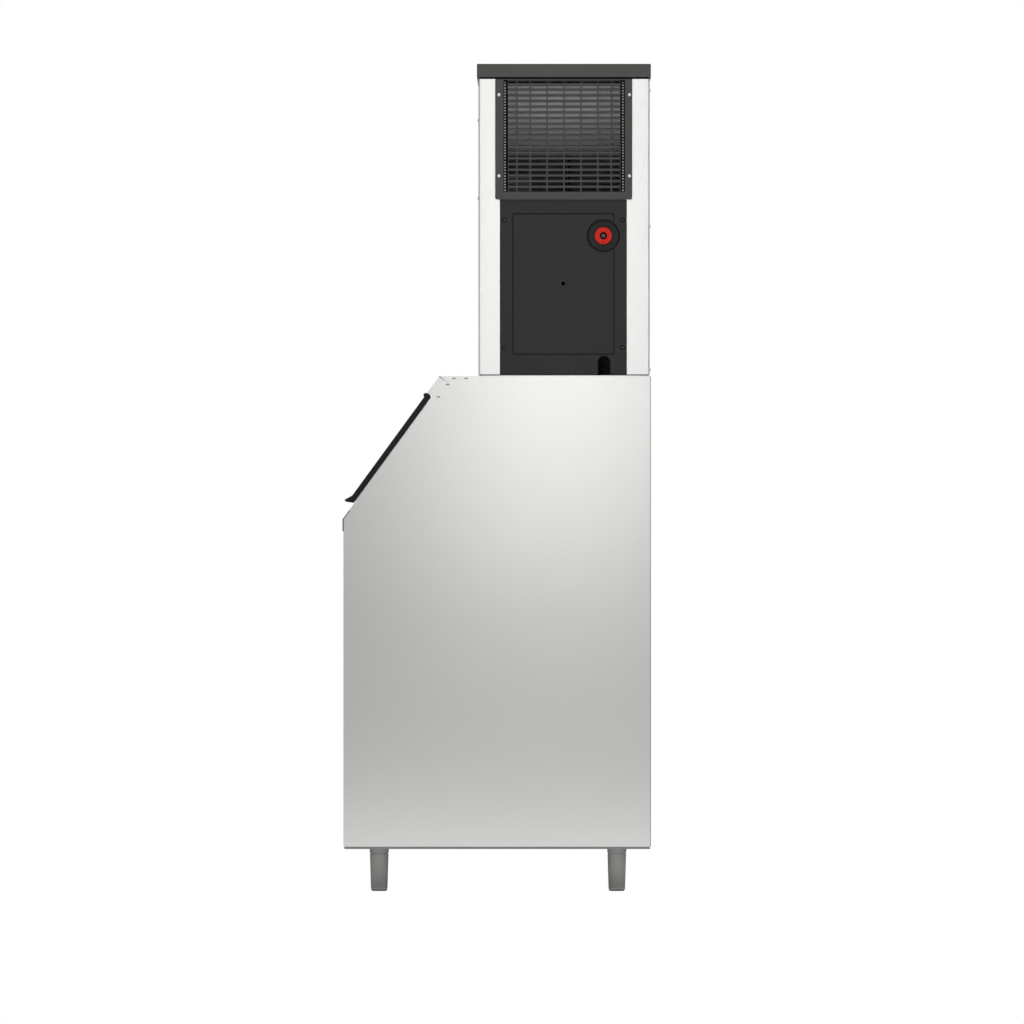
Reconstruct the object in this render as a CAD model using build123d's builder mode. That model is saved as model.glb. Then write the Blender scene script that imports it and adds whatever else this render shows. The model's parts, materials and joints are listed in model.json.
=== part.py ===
# Modular ice machine: an ice-making head on an insulated storage bin with a sloped door.
# Millimetres, +Z up, front towards -Y, origin on the floor under the middle of the machine.

import os
from math import cos, radians, sin

from build123d import *

# Whole machine
bin_width = 762.0
bin_depth = 784.0
bin_top = 1313.0
bin_bottom = 113.0
nose_proud = 2.5
edge_round = 1.0
head_width = 750.0
head_depth = 437.0
head_height = 757.6
head_back_inset = 2.75
sheet = 1.2
corner_radius = 4.5

half_bin = bin_width / 2
half_head = head_width / 2
bin_back = (bin_depth + nose_proud) / 2
bin_front = bin_back - bin_depth
bin_middle = (bin_back + bin_front) / 2
head_top = bin_top + head_height
head_back = bin_back - head_back_inset
head_front = head_back - head_depth
head_middle = (head_back + head_front) / 2

# Sloped front of the bin, measured down the slope from the top edge of the hood
slope_angle = 53.85
hood_edge = head_front - 99.7
hood_length = 52.5
hood_lap = 25.0
seat_depth = 16.0
trim_thick = 2.5
trim_skirt = 30.0
slope_cos = cos(radians(slope_angle))
slope_sin = sin(radians(slope_angle))
slope_length = (hood_edge - bin_front) / slope_cos
trim_start = slope_length - 3.56
slope_plane = Plane(origin=(0, hood_edge, bin_top), x_dir=(0, -slope_cos, -slope_sin), z_dir=(-1, 0, 0))

# Bin walls
foam_thick = 50.0
floor_thick = 60.0
liner_thick = 3.0
base_rim = 6.0
base_thick = 2.0
frame_thick = 4.0
gasket_thick = 3.0
gasket_width = 9.0
gasket_margin = 3.0
mouth_start = 84.0
mouth_end = slope_length - 44.56
mouth_half = half_bin - 63.0
recess_height = 90.0
recess_depth = 30.0
recess_wall = 2.0
drain_recess_width = 120.0
drain_rise = 20.0
pipe_bore = 9.5
pipe_radius = 12.0
thread_radius = 13.2
neck_length = 3.0
pipe_set_back = 2.0
thread_length = recess_depth - recess_wall - pipe_set_back - neck_length
rivet_radius = 4.0
rivet_rise = 0.6
rivet_places = (
    (hood_edge + 37.2, bin_top - 7.5),
    (hood_edge + 68.2, bin_top - 7.5),
    (hood_edge + 21.2, bin_top - 23.0),
    (hood_edge - 1.8, bin_top - 54.4),
)

# Bin door and its hinges
door_thick = 15.0
door_half = half_bin - 3.0
door_bottom = slope_length - 24.96
lip_start = slope_length - 37.56
lip_tip = slope_length - 16.76
lip_rise = 9.5
lip_low = slope_length - 15.16
lip_low_rise = 3.8
lip_round = 1.5
bead_radius = 6.0
bead_gap = 1.3
bead_drop = 0.8
corner_round = 4.0
hinge_side = half_bin - 141.0
hinge_width = 46.0
hinge_gap = 1.5
hinge_block = 9.0
pin_radius = 2.5
pin_fit = 0.06
pin_bite = 18.0
pin_end_gap = 0.5

# Legs and their adjustable feet
leg_radius = 23.7
leg_low_radius = 21.2
leg_plate = 90.0
leg_plate_thick = 3.0
collar_radius = 24.5
collar_height = 9.0
leg_front = bin_front + 91.25
leg_back = bin_back - 86.85
leg_side = half_bin - 56.0
foot_height = 7.0
foot_radius = 21.0
foot_round = 5.0
stem_radius = 6.0
stem_length = 60.0
stem_fit = 0.08
stem_end_gap = 1.0

# Opening between the head and the bin
partition_x = -10.0
drop_left = -half_head + 43.0
drop_right = partition_x - 48.0
drop_front = head_back - 382.5
drop_back = head_back - 222.5
drop_rim = 12.0

# Shell of the head
base_plate = 2.0
base_set_back = 2.5
base_wall = 1.5
base_upstand = 20.0
side_wrap = 25.0
top_flange = 12.0
panel_gap = 0.3
opening_front = head_front + 54.5
opening_back = head_back - 58.5
opening_flange = 12.0
top_rail = 2.0

# Air grille
grille_front = head_front + 43.1
grille_back = head_back - 45.3
grille_bottom = head_top - 307.3
grille_proud = 5.5
grille_opening_front = head_front + 64.0
grille_opening_back = head_back - 63.4
grille_opening_bottom = head_top - 287.4
grille_opening_top = head_top - 2.3
grille_corner = 5.0
grille_skirt = 7.0
grille_skirt_wall = 3.0
grille_gap = 0.4
rib_shift = -0.5
slat_count = 19
slat_first = head_top - 14.0
slat_pitch = 14.5
slat_thick = 5.0
slat_depth = 8.0
slat_tilt = 2.0
slat_set_back = 1.0
rib_sides = (-120.3, -86.0, -43.0, 0.0, 43.0, 86.0, 120.3)
rib_thick = 3.6
rib_depth = 7.5

# Service cover, its dish, knob and switch
cover_gap = 0.6
cover_thick = 3.0
cover_rim = 11.5
cover_rim_wall = 2.5
emboss_margin = 31.5
emboss_low = bin_top + 54.5
emboss_top_gap = 34.8
emboss_groove = 3.0
emboss_depth = 1.2
emboss_corner = 8.0
dish_y = head_back - 118.3
dish_z = head_top - 399.6
dish_radius = 42.5
dish_depth = 19.0
dish_wall = 2.5
dish_taper = 12.0
knob_radius = 22.0
knob_length = 14.0
knob_bore = 9.5
knob_lip = 3.5
knob_lip_rise = 1.5
knob_web = 4.0
knob_gap = 1.5
knob_round = 2.0
knob_mark = 3.0
knob_mark_depth = 2.0
shaft_radius = 6.0
shaft_fit = 0.06
shaft_hole = 8.0
shaft_bite = 20.0
switch_size = 48.0
switch_depth = 40.0
notch_y = head_back - 116.3
notch_width = 32.0
notch_height = 49.0
eye_y = head_front + 216.2
eye_z = bin_top + 236.0
eye_radius = 5.0
eye_rim = 10.0
eye_rise = 1.0
cover_screw_front = head_front + 65.5
cover_screw_back = head_back - 69.8
cover_screw_top = head_top - 358.8
cover_screw_low = bin_top + 73.2
screw_well = 6.0
screw_well_depth = 1.8
boss_radius = 8.0
rail_height = 24.0
rail_thick = 1.5
rail_overlap = 10.0

# Screws
head_radius = 4.35
head_rise = 2.5
head_low = 1.2
shank_radius = 1.9
shank_fit = 0.1
grille_screw_front = head_front + 52.0
grille_screw_back = head_back - 51.7
grille_screw_top = head_top - 40.0
grille_screw_low = head_top - 246.8
front_screw_side = half_head - 37.0
front_screw_top = head_top - 105.6
front_screw_low = head_top - 304.6
front_screw_shank = 8.0
grille_screw_places = [
    (y, z)
    for y in (grille_screw_front, grille_screw_back)
    for z in (grille_screw_low, grille_screw_top)
]
opening_middle = (opening_front + opening_back) / 2
exhaust_x = half_head - 225.0
exhaust_z = head_top - 110.6
exhaust_width = 120.0
exhaust_bar = 14.0
exhaust_slot = 8.0
exhaust_pitch = 16.0
exhaust_rows = 9

# Lid of the head
lid_height = 33.8
lid_gap = 5.0
lid_wall = 3.0
lid_side_over = 3.0
lid_front_over = 3.9
lid_inset = 3.0
lid_rim = 5.0
lid_rim_wall = 4.0
lid_edge_radius = 2.5
lid_front_drop = 26.0
lid_back_drop = 13.0

# Machine compartment
partition_top_gap = 10.0
inner_gap = 1.7
shelf_z = head_top - 194.6
shelf_thick = 2.0
condenser_back_x = half_head - 67.0
condenser_thick = 42.0
condenser_front = head_front + 60.5
condenser_back = head_back - 68.5
condenser_height = 177.0
end_plate = 2.0
end_plate_over = 4.0
stub_length = 12.0
stub_radius = 6.0
condenser_in_z = head_top - 40.6
condenser_out_z = head_top - 170.6
shroud_depth = 48.0
shroud_wall = 2.0
fan_radius = 66.0
fan_clearance = 4.0
fan_hub_radius = 20.0
fan_hub_length = 20.0
fan_blade_count = 5
fan_blade_thick = 2.0
fan_blade_pitch = 28.0
fan_blade_chord = 34.0
fan_set_back = 6.0
strap_width = 24.0
strap_thick = 3.0
motor_radius = 34.0
motor_length = 62.0
fan_shaft_radius = 4.0
fan_shaft_fit = 0.08
fan_shaft_bite = 25.0
compressor_x = half_head - 205.0
compressor_y = head_front + 226.5
compressor_radius = 76.0
compressor_dome = 30.0
compressor_height = 190.0
compressor_base = 3.0
compressor_base_size = 170.0
mount_height = 16.0
mount_radius = 12.0
mount_spread = 136.0
stub_spread = 34.0
stub_rise = 16.0
drier_radius = 18.0
drier_length = 110.0
drier_top = bin_top + 327.0
line_radius = 5.0
line_bend = 14.0
line_y = head_back - 38.5
line_low_z = bin_top + 147.0
line_hole = 8.0
condenser_line_x = condenser_back_x + condenser_thick / 2
discharge_x = compressor_x + stub_spread
suction_x = compressor_x - stub_spread
feed_x = partition_x + 50.0
feed_z = bin_top + 367.0
suction_z = head_top - 140.6
control_depth = 66.0
control_front = head_front + 16.5
control_width = 120.0
control_bottom = bin_top + 257.0
control_top_gap = 46.0
control_wall = 2.0

# Freezing compartment
side_wall = 8.0
side_front = head_back - 240.5
side_back = head_back - 84.5
side_top = head_top - 20.6
cell_pitch = 24.5
cell_margin = 10.0
plate_top_gap = 5.0
cell_depth = 20.0
cell_wall = 1.8
plate_thick = 3.0
plate_face = head_back - 184.5
plate_bottom = bin_top + 327.0
coil_radius = 4.0
coil_passes = 6
coil_left = -half_head + 85.0
coil_right = partition_x - 90.0
curtain_thick = 3.0
curtain_face = head_back - 218.5
curtain_gap = 4.0
curtain_bottom = bin_top + 287.0
curtain_pivot_z = head_top - 54.6
curtain_bead = 5.0
curtain_pin = 3.0
curtain_pin_length = 6.0
curtain_fit = 0.08
trough_front = head_back - 213.5
trough_back = head_back - 90.5
trough_bottom = bin_top + 247.0
trough_height = 62.0
trough_wall = 3.0
pump_x = -half_head + 125.0
pump_y = head_back - 128.5
pump_radius = 20.0
pump_foot_height = 28.0
pump_neck = 8.0
motor_z = bin_top + 315.0
pump_motor_radius = 22.0
pump_motor_height = 60.0
hose_radius = 7.0
hose_bend = 16.0
hose_x = -half_head + 70.0
tube_radius = 9.0
tube_z = head_top - 66.6
tube_y = head_back - 194.5
tube_hole = 1.5
connection_x = -half_head + 150.0
connection_z = bin_top + 107.0
connection_width = 180.0
connection_spread = 80.0
valve_size = 44.0
valve_length = 40.0
valve_y = head_back - recess_depth - valve_length / 2
fill_y = head_back - 112.5
drain_y = head_back - 140.5


def on_slope(along, out):
    """Y and Z of a point down the slope from the hood's top edge and out from its face."""
    return (
        hood_edge - along * slope_cos - out * slope_sin,
        bin_top - along * slope_sin + out * slope_cos,
    )


def nose_along(y, out):
    """How far down the slope the line this far out meets the upright plane at y."""
    return (hood_edge - out * slope_sin - y) / slope_cos


def under_hood(drop, inset):
    """How far down the slope the line inset from the hood lies this far under the bin's top."""
    return (drop - inset * slope_cos) / slope_sin


def bin_outline(inset, seat):
    """Corners of the bin's side view, moved inwards by a wall, with the door seat this deep."""
    front = bin_front + inset
    end = hood_length - inset
    return [
        (bin_back - inset, bin_bottom),
        (bin_back - inset, bin_top - inset),
        on_slope(under_hood(inset, inset), -inset),
        on_slope(end, -inset),
        on_slope(end, -seat),
        on_slope(nose_along(front, -seat), -seat),
        (front, bin_bottom),
    ]


frame_face = seat_depth + trim_thick
frame_back = frame_face + frame_thick
space_half = half_bin - sheet - foam_thick
space_back = bin_back - sheet - foam_thick
space_front = bin_front + sheet + foam_thick
space_floor = bin_bottom + floor_thick
space_top = bin_top - sheet - foam_thick
space_seat = frame_back + foam_thick
inner_half = half_bin - sheet
drop_middle = ((drop_left + drop_right) / 2, (drop_front + drop_back) / 2)
drop_size = (drop_right - drop_left, drop_back - drop_front)


def space_outline(inset):
    """Corners of the storage space's side view, moved inwards by a wall."""
    front = space_front + inset
    seat = space_seat + inset
    return [
        (space_back - inset, space_floor + inset),
        (space_back - inset, space_top - inset),
        on_slope(under_hood(bin_top - space_top + inset, seat), -seat),
        on_slope(nose_along(front, -seat), -seat),
        (front, space_floor + inset),
    ]


def save(name, part):
    """Label a finished piece and write it."""
    part.label = name
    export_step(part, f"parts/{name}.step")


os.makedirs("parts", exist_ok=True)


# Bin: base pan, an inverted tray whose rim shows under the panels
with BuildPart() as bin_base_pan:
    with BuildSketch(Plane.XY.offset(bin_bottom - base_rim)):
        with Locations((0, bin_middle)):
            Rectangle(bin_width - 2 * base_thick, bin_depth - 2 * base_thick)
    extrude(amount=base_rim)
    pan_bottom = bin_base_pan.faces().sort_by(Axis.Z)[0]
    offset(amount=-base_thick, openings=pan_bottom)
save("bin_base_pan", bin_base_pan.part)

# Bin: outer side panels, cut back under the trim on the nose
side_outline = bin_outline(0, seat_depth)
side_outline[5:6] = [
    on_slope(trim_start, -seat_depth),
    on_slope(trim_start, -frame_face),
    on_slope(nose_along(bin_front, -frame_face), -frame_face),
]
for side_name, side_sign in (("bin_side_right", 1), ("bin_side_left", -1)):
    with BuildPart() as bin_side:
        with BuildSketch(Plane.YZ.offset(side_sign * (half_bin - sheet / 2))):
            Polygon(*side_outline, align=None)
        extrude(amount=sheet / 2, both=True)
        outer_face = bin_side.faces().sort_by(Axis.X)[0 if side_sign < 0 else -1]
        fillet(outer_face.edges().filter_by(Axis.Z), edge_round)
    save(side_name, bin_side.part)

# Bin: front, back and top panels between the sides
trim_low = on_slope(nose_along(bin_front, -frame_face), -frame_face)[1]
with BuildPart() as bin_front_panel:
    with BuildSketch(Plane.XZ.offset(-bin_front)):
        with Locations((0, (bin_bottom + trim_low) / 2)):
            Rectangle(2 * inner_half, trim_low - bin_bottom)
    extrude(amount=-sheet)
save("bin_front_panel", bin_front_panel.part)

drain_z = space_floor + liner_thick + drain_rise
with BuildPart() as bin_back_panel:
    with BuildSketch(Plane.XZ.offset(-bin_back)):
        with Locations((0, (bin_bottom + bin_top) / 2)):
            Rectangle(2 * inner_half, bin_top - bin_bottom)
        with Locations((0, drain_z)):
            Rectangle(drain_recess_width, recess_height, mode=Mode.SUBTRACT)
    extrude(amount=sheet)
save("bin_back_panel", bin_back_panel.part)

hood_back = head_front - hood_lap
with BuildPart() as bin_top_panel:
    with BuildSketch(Plane.XY.offset(bin_top)):
        with Locations((0, (hood_back + bin_back - sheet) / 2)):
            Rectangle(2 * inner_half, bin_back - sheet - hood_back)
        with Locations(drop_middle):
            Rectangle(*drop_size, mode=Mode.SUBTRACT)
    extrude(amount=-sheet)
save("bin_top_panel", bin_top_panel.part)

# Bin: hood, one folded sheet over the top front and down behind the door
with BuildPart() as bin_hood:
    with BuildSketch(Plane.YZ):
        Polygon(
            (hood_back, bin_top),
            (hood_edge, bin_top),
            on_slope(hood_length, 0),
            on_slope(hood_length, -seat_depth),
            on_slope(hood_length - sheet, -seat_depth),
            on_slope(hood_length - sheet, -sheet),
            on_slope(under_hood(sheet, sheet), -sheet),
            (hood_back, bin_top - sheet),
            align=None,
        )
    extrude(amount=inner_half, both=True)
save("bin_hood", bin_hood.part)

# Bin: foam boards round the storage space, with the door mouth, the drop opening and the drain recess
with BuildPart() as bin_insulation:
    with BuildSketch(Plane.YZ):
        Polygon(*bin_outline(sheet, frame_back), align=None)
    extrude(amount=inner_half, both=True)
    with BuildSketch(Plane.YZ):
        Polygon(*space_outline(0), align=None)
    extrude(amount=space_half, both=True, mode=Mode.SUBTRACT)
    with BuildSketch(slope_plane):
        with Locations(((mouth_start + mouth_end) / 2, -(frame_back + space_seat) / 2)):
            Rectangle(mouth_end - mouth_start, foam_thick + sheet)
    extrude(amount=mouth_half, both=True, mode=Mode.SUBTRACT)
    with BuildSketch(Plane.XY.offset(bin_top)):
        with Locations(drop_middle):
            Rectangle(*drop_size)
    extrude(amount=space_top - bin_top, mode=Mode.SUBTRACT)
    with BuildSketch(Plane.XZ.offset(-bin_back)):
        with Locations((0, drain_z)):
            Rectangle(drain_recess_width, recess_height)
    extrude(amount=recess_depth, mode=Mode.SUBTRACT)
    with BuildSketch(Plane.XZ.offset(-bin_back)):
        with Locations((0, drain_z)):
            Circle(pipe_radius)
    extrude(amount=bin_back - space_back, mode=Mode.SUBTRACT)
    split(bisect_by=Plane.YZ.offset(space_half), keep=Keep.BOTH)
    split(bisect_by=Plane.YZ.offset(-space_half), keep=Keep.BOTH)
    split(bisect_by=Plane.XY.offset(space_floor), keep=Keep.BOTH)
    split(bisect_by=Plane.XY.offset(space_top), keep=Keep.BOTH)
save("bin_insulation", bin_insulation.part)

# Bin: moulded liner inside the foam, open at the door and under the head
with BuildPart() as bin_liner:
    with BuildSketch(Plane.YZ):
        Polygon(*space_outline(0), align=None)
    extrude(amount=space_half, both=True)
    with BuildSketch(Plane.YZ):
        Polygon(*space_outline(liner_thick), align=None)
    extrude(amount=space_half - liner_thick, both=True, mode=Mode.SUBTRACT)
    with BuildSketch(slope_plane):
        with Locations(((mouth_start + mouth_end) / 2, -space_seat)):
            Rectangle(mouth_end - mouth_start, 3 * liner_thick)
    extrude(amount=mouth_half, both=True, mode=Mode.SUBTRACT)
    with BuildSketch(Plane.XY.offset(space_top)):
        with Locations(drop_middle):
            Rectangle(*drop_size)
    extrude(amount=-liner_thick, mode=Mode.SUBTRACT)
    with BuildSketch(Plane.XZ.offset(-space_back)):
        with Locations((0, drain_z)):
            Circle(pipe_radius)
    extrude(amount=liner_thick, mode=Mode.SUBTRACT)
save("bin_liner", bin_liner.part)

# Bin: moulded door frame, a flat seat with a throat that lines the mouth
mouth_middle = (mouth_start + mouth_end) / 2
mouth_length = mouth_end - mouth_start
with BuildPart() as door_frame:
    with BuildSketch(Plane.YZ):
        Polygon(
            on_slope(hood_length - sheet, -frame_face),
            on_slope(nose_along(bin_front + sheet, -frame_face), -frame_face),
            on_slope(nose_along(bin_front + sheet, -frame_back), -frame_back),
            on_slope(hood_length - sheet, -frame_back),
            align=None,
        )
    extrude(amount=inner_half, both=True)
    with BuildSketch(slope_plane):
        with Locations((mouth_middle, -(frame_back + space_seat) / 2)):
            Rectangle(mouth_length, foam_thick)
    extrude(amount=mouth_half, both=True)
    with BuildSketch(slope_plane):
        with Locations((mouth_middle, -(frame_face + space_seat) / 2)):
            Rectangle(mouth_length - 2 * liner_thick, foam_thick + 2 * frame_thick)
    extrude(amount=mouth_half - liner_thick, both=True, mode=Mode.SUBTRACT)
save("door_frame", door_frame.part)

# Bin: door gasket, a rectangular ring round the mouth
gasket_outer = gasket_margin + gasket_width
with BuildPart() as door_gasket:
    with BuildSketch(slope_plane):
        with Locations((mouth_middle, -frame_face + gasket_thick / 2)):
            Rectangle(mouth_length + 2 * gasket_outer, gasket_thick)
    extrude(amount=mouth_half + gasket_outer, both=True)
    with BuildSketch(slope_plane):
        with Locations((mouth_middle, -frame_face + gasket_thick / 2)):
            Rectangle(mouth_length + 2 * gasket_margin, gasket_thick)
    extrude(amount=mouth_half + gasket_margin, both=True, mode=Mode.SUBTRACT)
save("door_gasket", door_gasket.part)

# Bin: trim round the nose, from the door seat over the corner and down the front
nose_front = bin_front - nose_proud
nose_corner = on_slope(nose_along(nose_front, -seat_depth), -seat_depth)
with BuildPart() as sill_trim:
    with BuildSketch(Plane.YZ):
        Polygon(
            on_slope(trim_start, -seat_depth),
            nose_corner,
            (nose_front, nose_corner[1] - trim_skirt),
            (bin_front, nose_corner[1] - trim_skirt),
            (bin_front, trim_low),
            on_slope(trim_start, -frame_face),
            align=None,
        )
    extrude(amount=half_bin, both=True)
save("sill_trim", sill_trim.part)

# Bin door: slab with a rolled bead along its top edge and a flared handle lip
bead_along = hood_length + bead_gap + bead_radius
hinge_sides = (-hinge_side, hinge_side)
with BuildPart() as bin_door:
    with BuildSketch(slope_plane) as door_profile:
        Polygon(
            (bead_along - bead_radius, -bead_drop),
            (bead_along - bead_radius, -door_thick),
            (door_bottom, -door_thick),
            (lip_low, lip_low_rise),
            (lip_tip, lip_rise),
            (lip_start, 0),
            (bead_along, 0),
            align=None,
        )
        with Locations((bead_along, -bead_drop)):
            Circle(bead_radius)
        inner_corner = door_profile.vertices().group_by(Axis.Y)[0].sort_by(Axis.X)[0]
        fillet(inner_corner, corner_round)
        fillet(door_profile.vertices().sort_by(Axis.X)[-2:], lip_round)
    extrude(amount=door_half, both=True)
    for hinge_x in hinge_sides:
        with BuildSketch(slope_plane.offset(-hinge_x)):
            with Locations((bead_along, 0)):
                Rectangle(2 * (bead_radius + hinge_gap), 3 * door_thick)
        extrude(amount=hinge_width / 2 + hinge_gap, both=True, mode=Mode.SUBTRACT)
        with BuildSketch(slope_plane.offset(-hinge_x)):
            with Locations((bead_along, -bead_drop)):
                Circle(pin_radius + pin_fit)
        extrude(amount=hinge_width / 2 + hinge_gap + pin_bite, both=True, mode=Mode.SUBTRACT)
save("bin_door", bin_door.part)

# Bin door hinges: two knuckles on the hood's edge, each with a pin that runs into the bead
with BuildPart() as hinge_brackets:
    for hinge_x in hinge_sides:
        with BuildSketch(slope_plane.offset(-hinge_x)):
            with Locations(((hood_length + bead_along) / 2, -bead_drop - hinge_block / 2)):
                Rectangle(bead_along - hood_length, hinge_block)
            with Locations((bead_along, -bead_drop)):
                Circle(bead_radius)
                Circle(pin_radius + pin_fit, mode=Mode.SUBTRACT)
        extrude(amount=hinge_width / 2, both=True)
save("hinge_brackets", hinge_brackets.part)

with BuildPart() as hinge_pins:
    for hinge_x in hinge_sides:
        with BuildSketch(slope_plane.offset(-hinge_x)):
            with Locations((bead_along, -bead_drop)):
                Circle(pin_radius)
        extrude(amount=hinge_width / 2 + hinge_gap + pin_bite - pin_end_gap, both=True)
save("hinge_pins", hinge_pins.part)

# Bin: rivets that hold the hood to both side panels
with BuildPart() as corner_rivets:
    for side_sign in (1, -1):
        with BuildSketch(Plane.YZ.offset(side_sign * half_bin)):
            with Locations(*rivet_places):
                Circle(rivet_radius)
        extrude(amount=side_sign * rivet_rise)
save("corner_rivets", corner_rivets.part)

# Bin: drain, a recess in the back with a threaded tube from the liner
with BuildPart() as drain_recess:
    with BuildSketch(Plane.XZ.offset(-bin_back)):
        with Locations((0, drain_z)):
            Rectangle(drain_recess_width, recess_height)
    extrude(amount=recess_depth)
    with BuildSketch(Plane.XZ.offset(-bin_back)):
        with Locations((0, drain_z)):
            Rectangle(drain_recess_width - 2 * recess_wall, recess_height - 2 * recess_wall)
    extrude(amount=recess_depth - recess_wall, mode=Mode.SUBTRACT)
    with BuildSketch(Plane.XZ.offset(-bin_back)):
        with Locations((0, drain_z)):
            Circle(pipe_radius)
    extrude(amount=recess_depth, mode=Mode.SUBTRACT)
save("drain_recess", drain_recess.part)

with BuildPart() as bin_drain:
    with BuildSketch(Plane.XZ.offset(pipe_set_back - bin_back)):
        with Locations((0, drain_z)):
            Circle(pipe_radius)
    extrude(amount=bin_back - pipe_set_back - space_back + liner_thick)
    with BuildSketch(Plane.XZ.offset(pipe_set_back - bin_back)):
        with Locations((0, drain_z)):
            Circle(thread_radius)
    extrude(amount=thread_length)
    with BuildSketch(Plane.XZ.offset(pipe_set_back - bin_back)):
        with Locations((0, drain_z)):
            Circle(pipe_bore)
    extrude(amount=bin_back - pipe_set_back - space_back + liner_thick, mode=Mode.SUBTRACT)
save("bin_drain", bin_drain.part)

# Legs: plate, collar and tapered column with a bore for the foot's stem
leg_places = [(x, y) for x in (-leg_side, leg_side) for y in (leg_front, leg_back)]
plate_top = bin_bottom - base_thick
collar_top = plate_top - leg_plate_thick
with BuildPart() as legs:
    with BuildSketch(Plane.XY.offset(collar_top)):
        with Locations(*leg_places):
            RectangleRounded(leg_plate, leg_plate, leg_plate / 10)
    extrude(amount=leg_plate_thick)
    with BuildSketch(Plane.XY.offset(collar_top - collar_height)):
        with Locations(*leg_places):
            Circle(collar_radius)
    extrude(amount=collar_height)
    for leg_x, leg_y in leg_places:
        with BuildSketch(Plane.XY.offset(foot_height)):
            with Locations((leg_x, leg_y)):
                Circle(leg_low_radius)
        with BuildSketch(Plane.XY.offset(collar_top - collar_height)):
            with Locations((leg_x, leg_y)):
                Circle(leg_radius)
        loft()
    with BuildSketch(Plane.XY.offset(foot_height)):
        with Locations(*leg_places):
            Circle(stem_radius + stem_fit)
    extrude(amount=stem_length + stem_end_gap, mode=Mode.SUBTRACT)
save("legs", legs.part)

foot_names = {
    (-leg_side, leg_front): "foot_front_left",
    (-leg_side, leg_back): "foot_back_left",
    (leg_side, leg_front): "foot_front_right",
    (leg_side, leg_back): "foot_back_right",
}
for (leg_x, leg_y), foot_name in foot_names.items():
    with BuildPart() as foot:
        with BuildSketch():
            with Locations((leg_x, leg_y)):
                Circle(foot_radius)
        extrude(amount=foot_height)
        fillet(foot.edges().sort_by(Axis.Z)[0], foot_round)
        with BuildSketch(Plane.XY.offset(foot_height)):
            with Locations((leg_x, leg_y)):
                Circle(stem_radius)
        extrude(amount=stem_length)
    save(foot_name, foot.part)

# Head: base pan with an upstand inside the panels and a rim round the drop opening
inner_head = (head_width - 2 * sheet, head_depth - 2 * sheet)
inner_corner_radius = corner_radius - sheet
panel_bottom = bin_top + base_plate
with BuildPart() as head_base:
    with BuildSketch(Plane.XY.offset(bin_top)):
        with Locations((0, head_middle)):
            RectangleRounded(head_width - 2 * base_set_back, head_depth - 2 * base_set_back, inner_corner_radius)
    extrude(amount=base_plate)
    with BuildSketch(Plane.XY.offset(panel_bottom)):
        with Locations((0, head_middle)):
            RectangleRounded(*inner_head, inner_corner_radius)
            RectangleRounded(
                inner_head[0] - 2 * base_wall,
                inner_head[1] - 2 * base_wall,
                inner_corner_radius - base_wall,
                mode=Mode.SUBTRACT,
            )
    extrude(amount=base_upstand)
    with BuildSketch(Plane.XY.offset(panel_bottom)):
        with Locations(drop_middle):
            Rectangle(drop_size[0] + 2 * base_wall, drop_size[1] + 2 * base_wall)
    extrude(amount=drop_rim)
    with BuildSketch(Plane.XY.offset(bin_top)):
        with Locations(drop_middle):
            Rectangle(*drop_size)
    extrude(amount=base_plate + drop_rim, mode=Mode.SUBTRACT)
    with BuildSketch(Plane.XY.offset(panel_bottom)):
        with Locations((half_head - opening_flange / 2, opening_middle)):
            Rectangle(opening_flange, opening_back - opening_front + 2 * sheet)
    extrude(amount=base_upstand, mode=Mode.SUBTRACT)
save("head_base", head_base.part)

# Head: side panels that wrap round the corners, with a flange along the top
wrap_x = half_head - side_wrap
for side_name, side_sign in (("head_side_right", 1), ("head_side_left", -1)):
    with BuildPart() as head_side:
        with BuildSketch(Plane.XY.offset(panel_bottom)):
            with Locations((0, head_middle)):
                RectangleRounded(head_width, head_depth, corner_radius)
                RectangleRounded(*inner_head, inner_corner_radius, mode=Mode.SUBTRACT)
            with Locations((side_sign * (wrap_x - head_width / 2), head_middle)):
                Rectangle(head_width, head_depth + 2, mode=Mode.SUBTRACT)
        extrude(amount=head_top - panel_bottom)
        with BuildSketch(Plane.XY.offset(head_top)):
            with Locations((0, head_middle)):
                RectangleRounded(head_width - sheet, head_depth - sheet, corner_radius - sheet / 2)
            with Locations((side_sign * (half_head - top_flange - head_width / 2), head_middle)):
                Rectangle(head_width, head_depth, mode=Mode.SUBTRACT)
        extrude(amount=-sheet)
        if side_sign == 1:
            for flange_y in (opening_front - sheet / 2, opening_back + sheet / 2):
                with BuildSketch(Plane.XY.offset(panel_bottom)):
                    with Locations((half_head - opening_flange / 2, flange_y)):
                        Rectangle(opening_flange, sheet)
                extrude(amount=head_top - top_rail - panel_bottom)
            with BuildSketch(Plane.YZ.offset(half_head)):
                with Locations((opening_middle, (panel_bottom + head_top - top_rail) / 2)):
                    Rectangle(opening_back - opening_front, head_top - top_rail - panel_bottom)
            extrude(amount=-side_wrap / 2, mode=Mode.SUBTRACT)
            with BuildSketch(Plane.YZ.offset(half_head)):
                with Locations(*grille_screw_places):
                    Circle(shank_radius + shank_fit)
            extrude(amount=-sheet, mode=Mode.SUBTRACT)
    save(side_name, head_side.part)

# Head: front panel, its screws, and the back panel with the exhaust slots
front_width = 2 * (wrap_x - panel_gap)
front_screws = [(x, z) for x in (-front_screw_side, front_screw_side) for z in (front_screw_low, front_screw_top)]
with BuildPart() as head_front_panel:
    with BuildSketch(Plane.XZ.offset(-head_front)):
        with Locations((0, (panel_bottom + head_top) / 2)):
            Rectangle(front_width, head_top - panel_bottom)
        with Locations(*front_screws):
            Circle(shank_radius + shank_fit, mode=Mode.SUBTRACT)
    extrude(amount=-sheet)
save("head_front_panel", head_front_panel.part)

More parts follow.
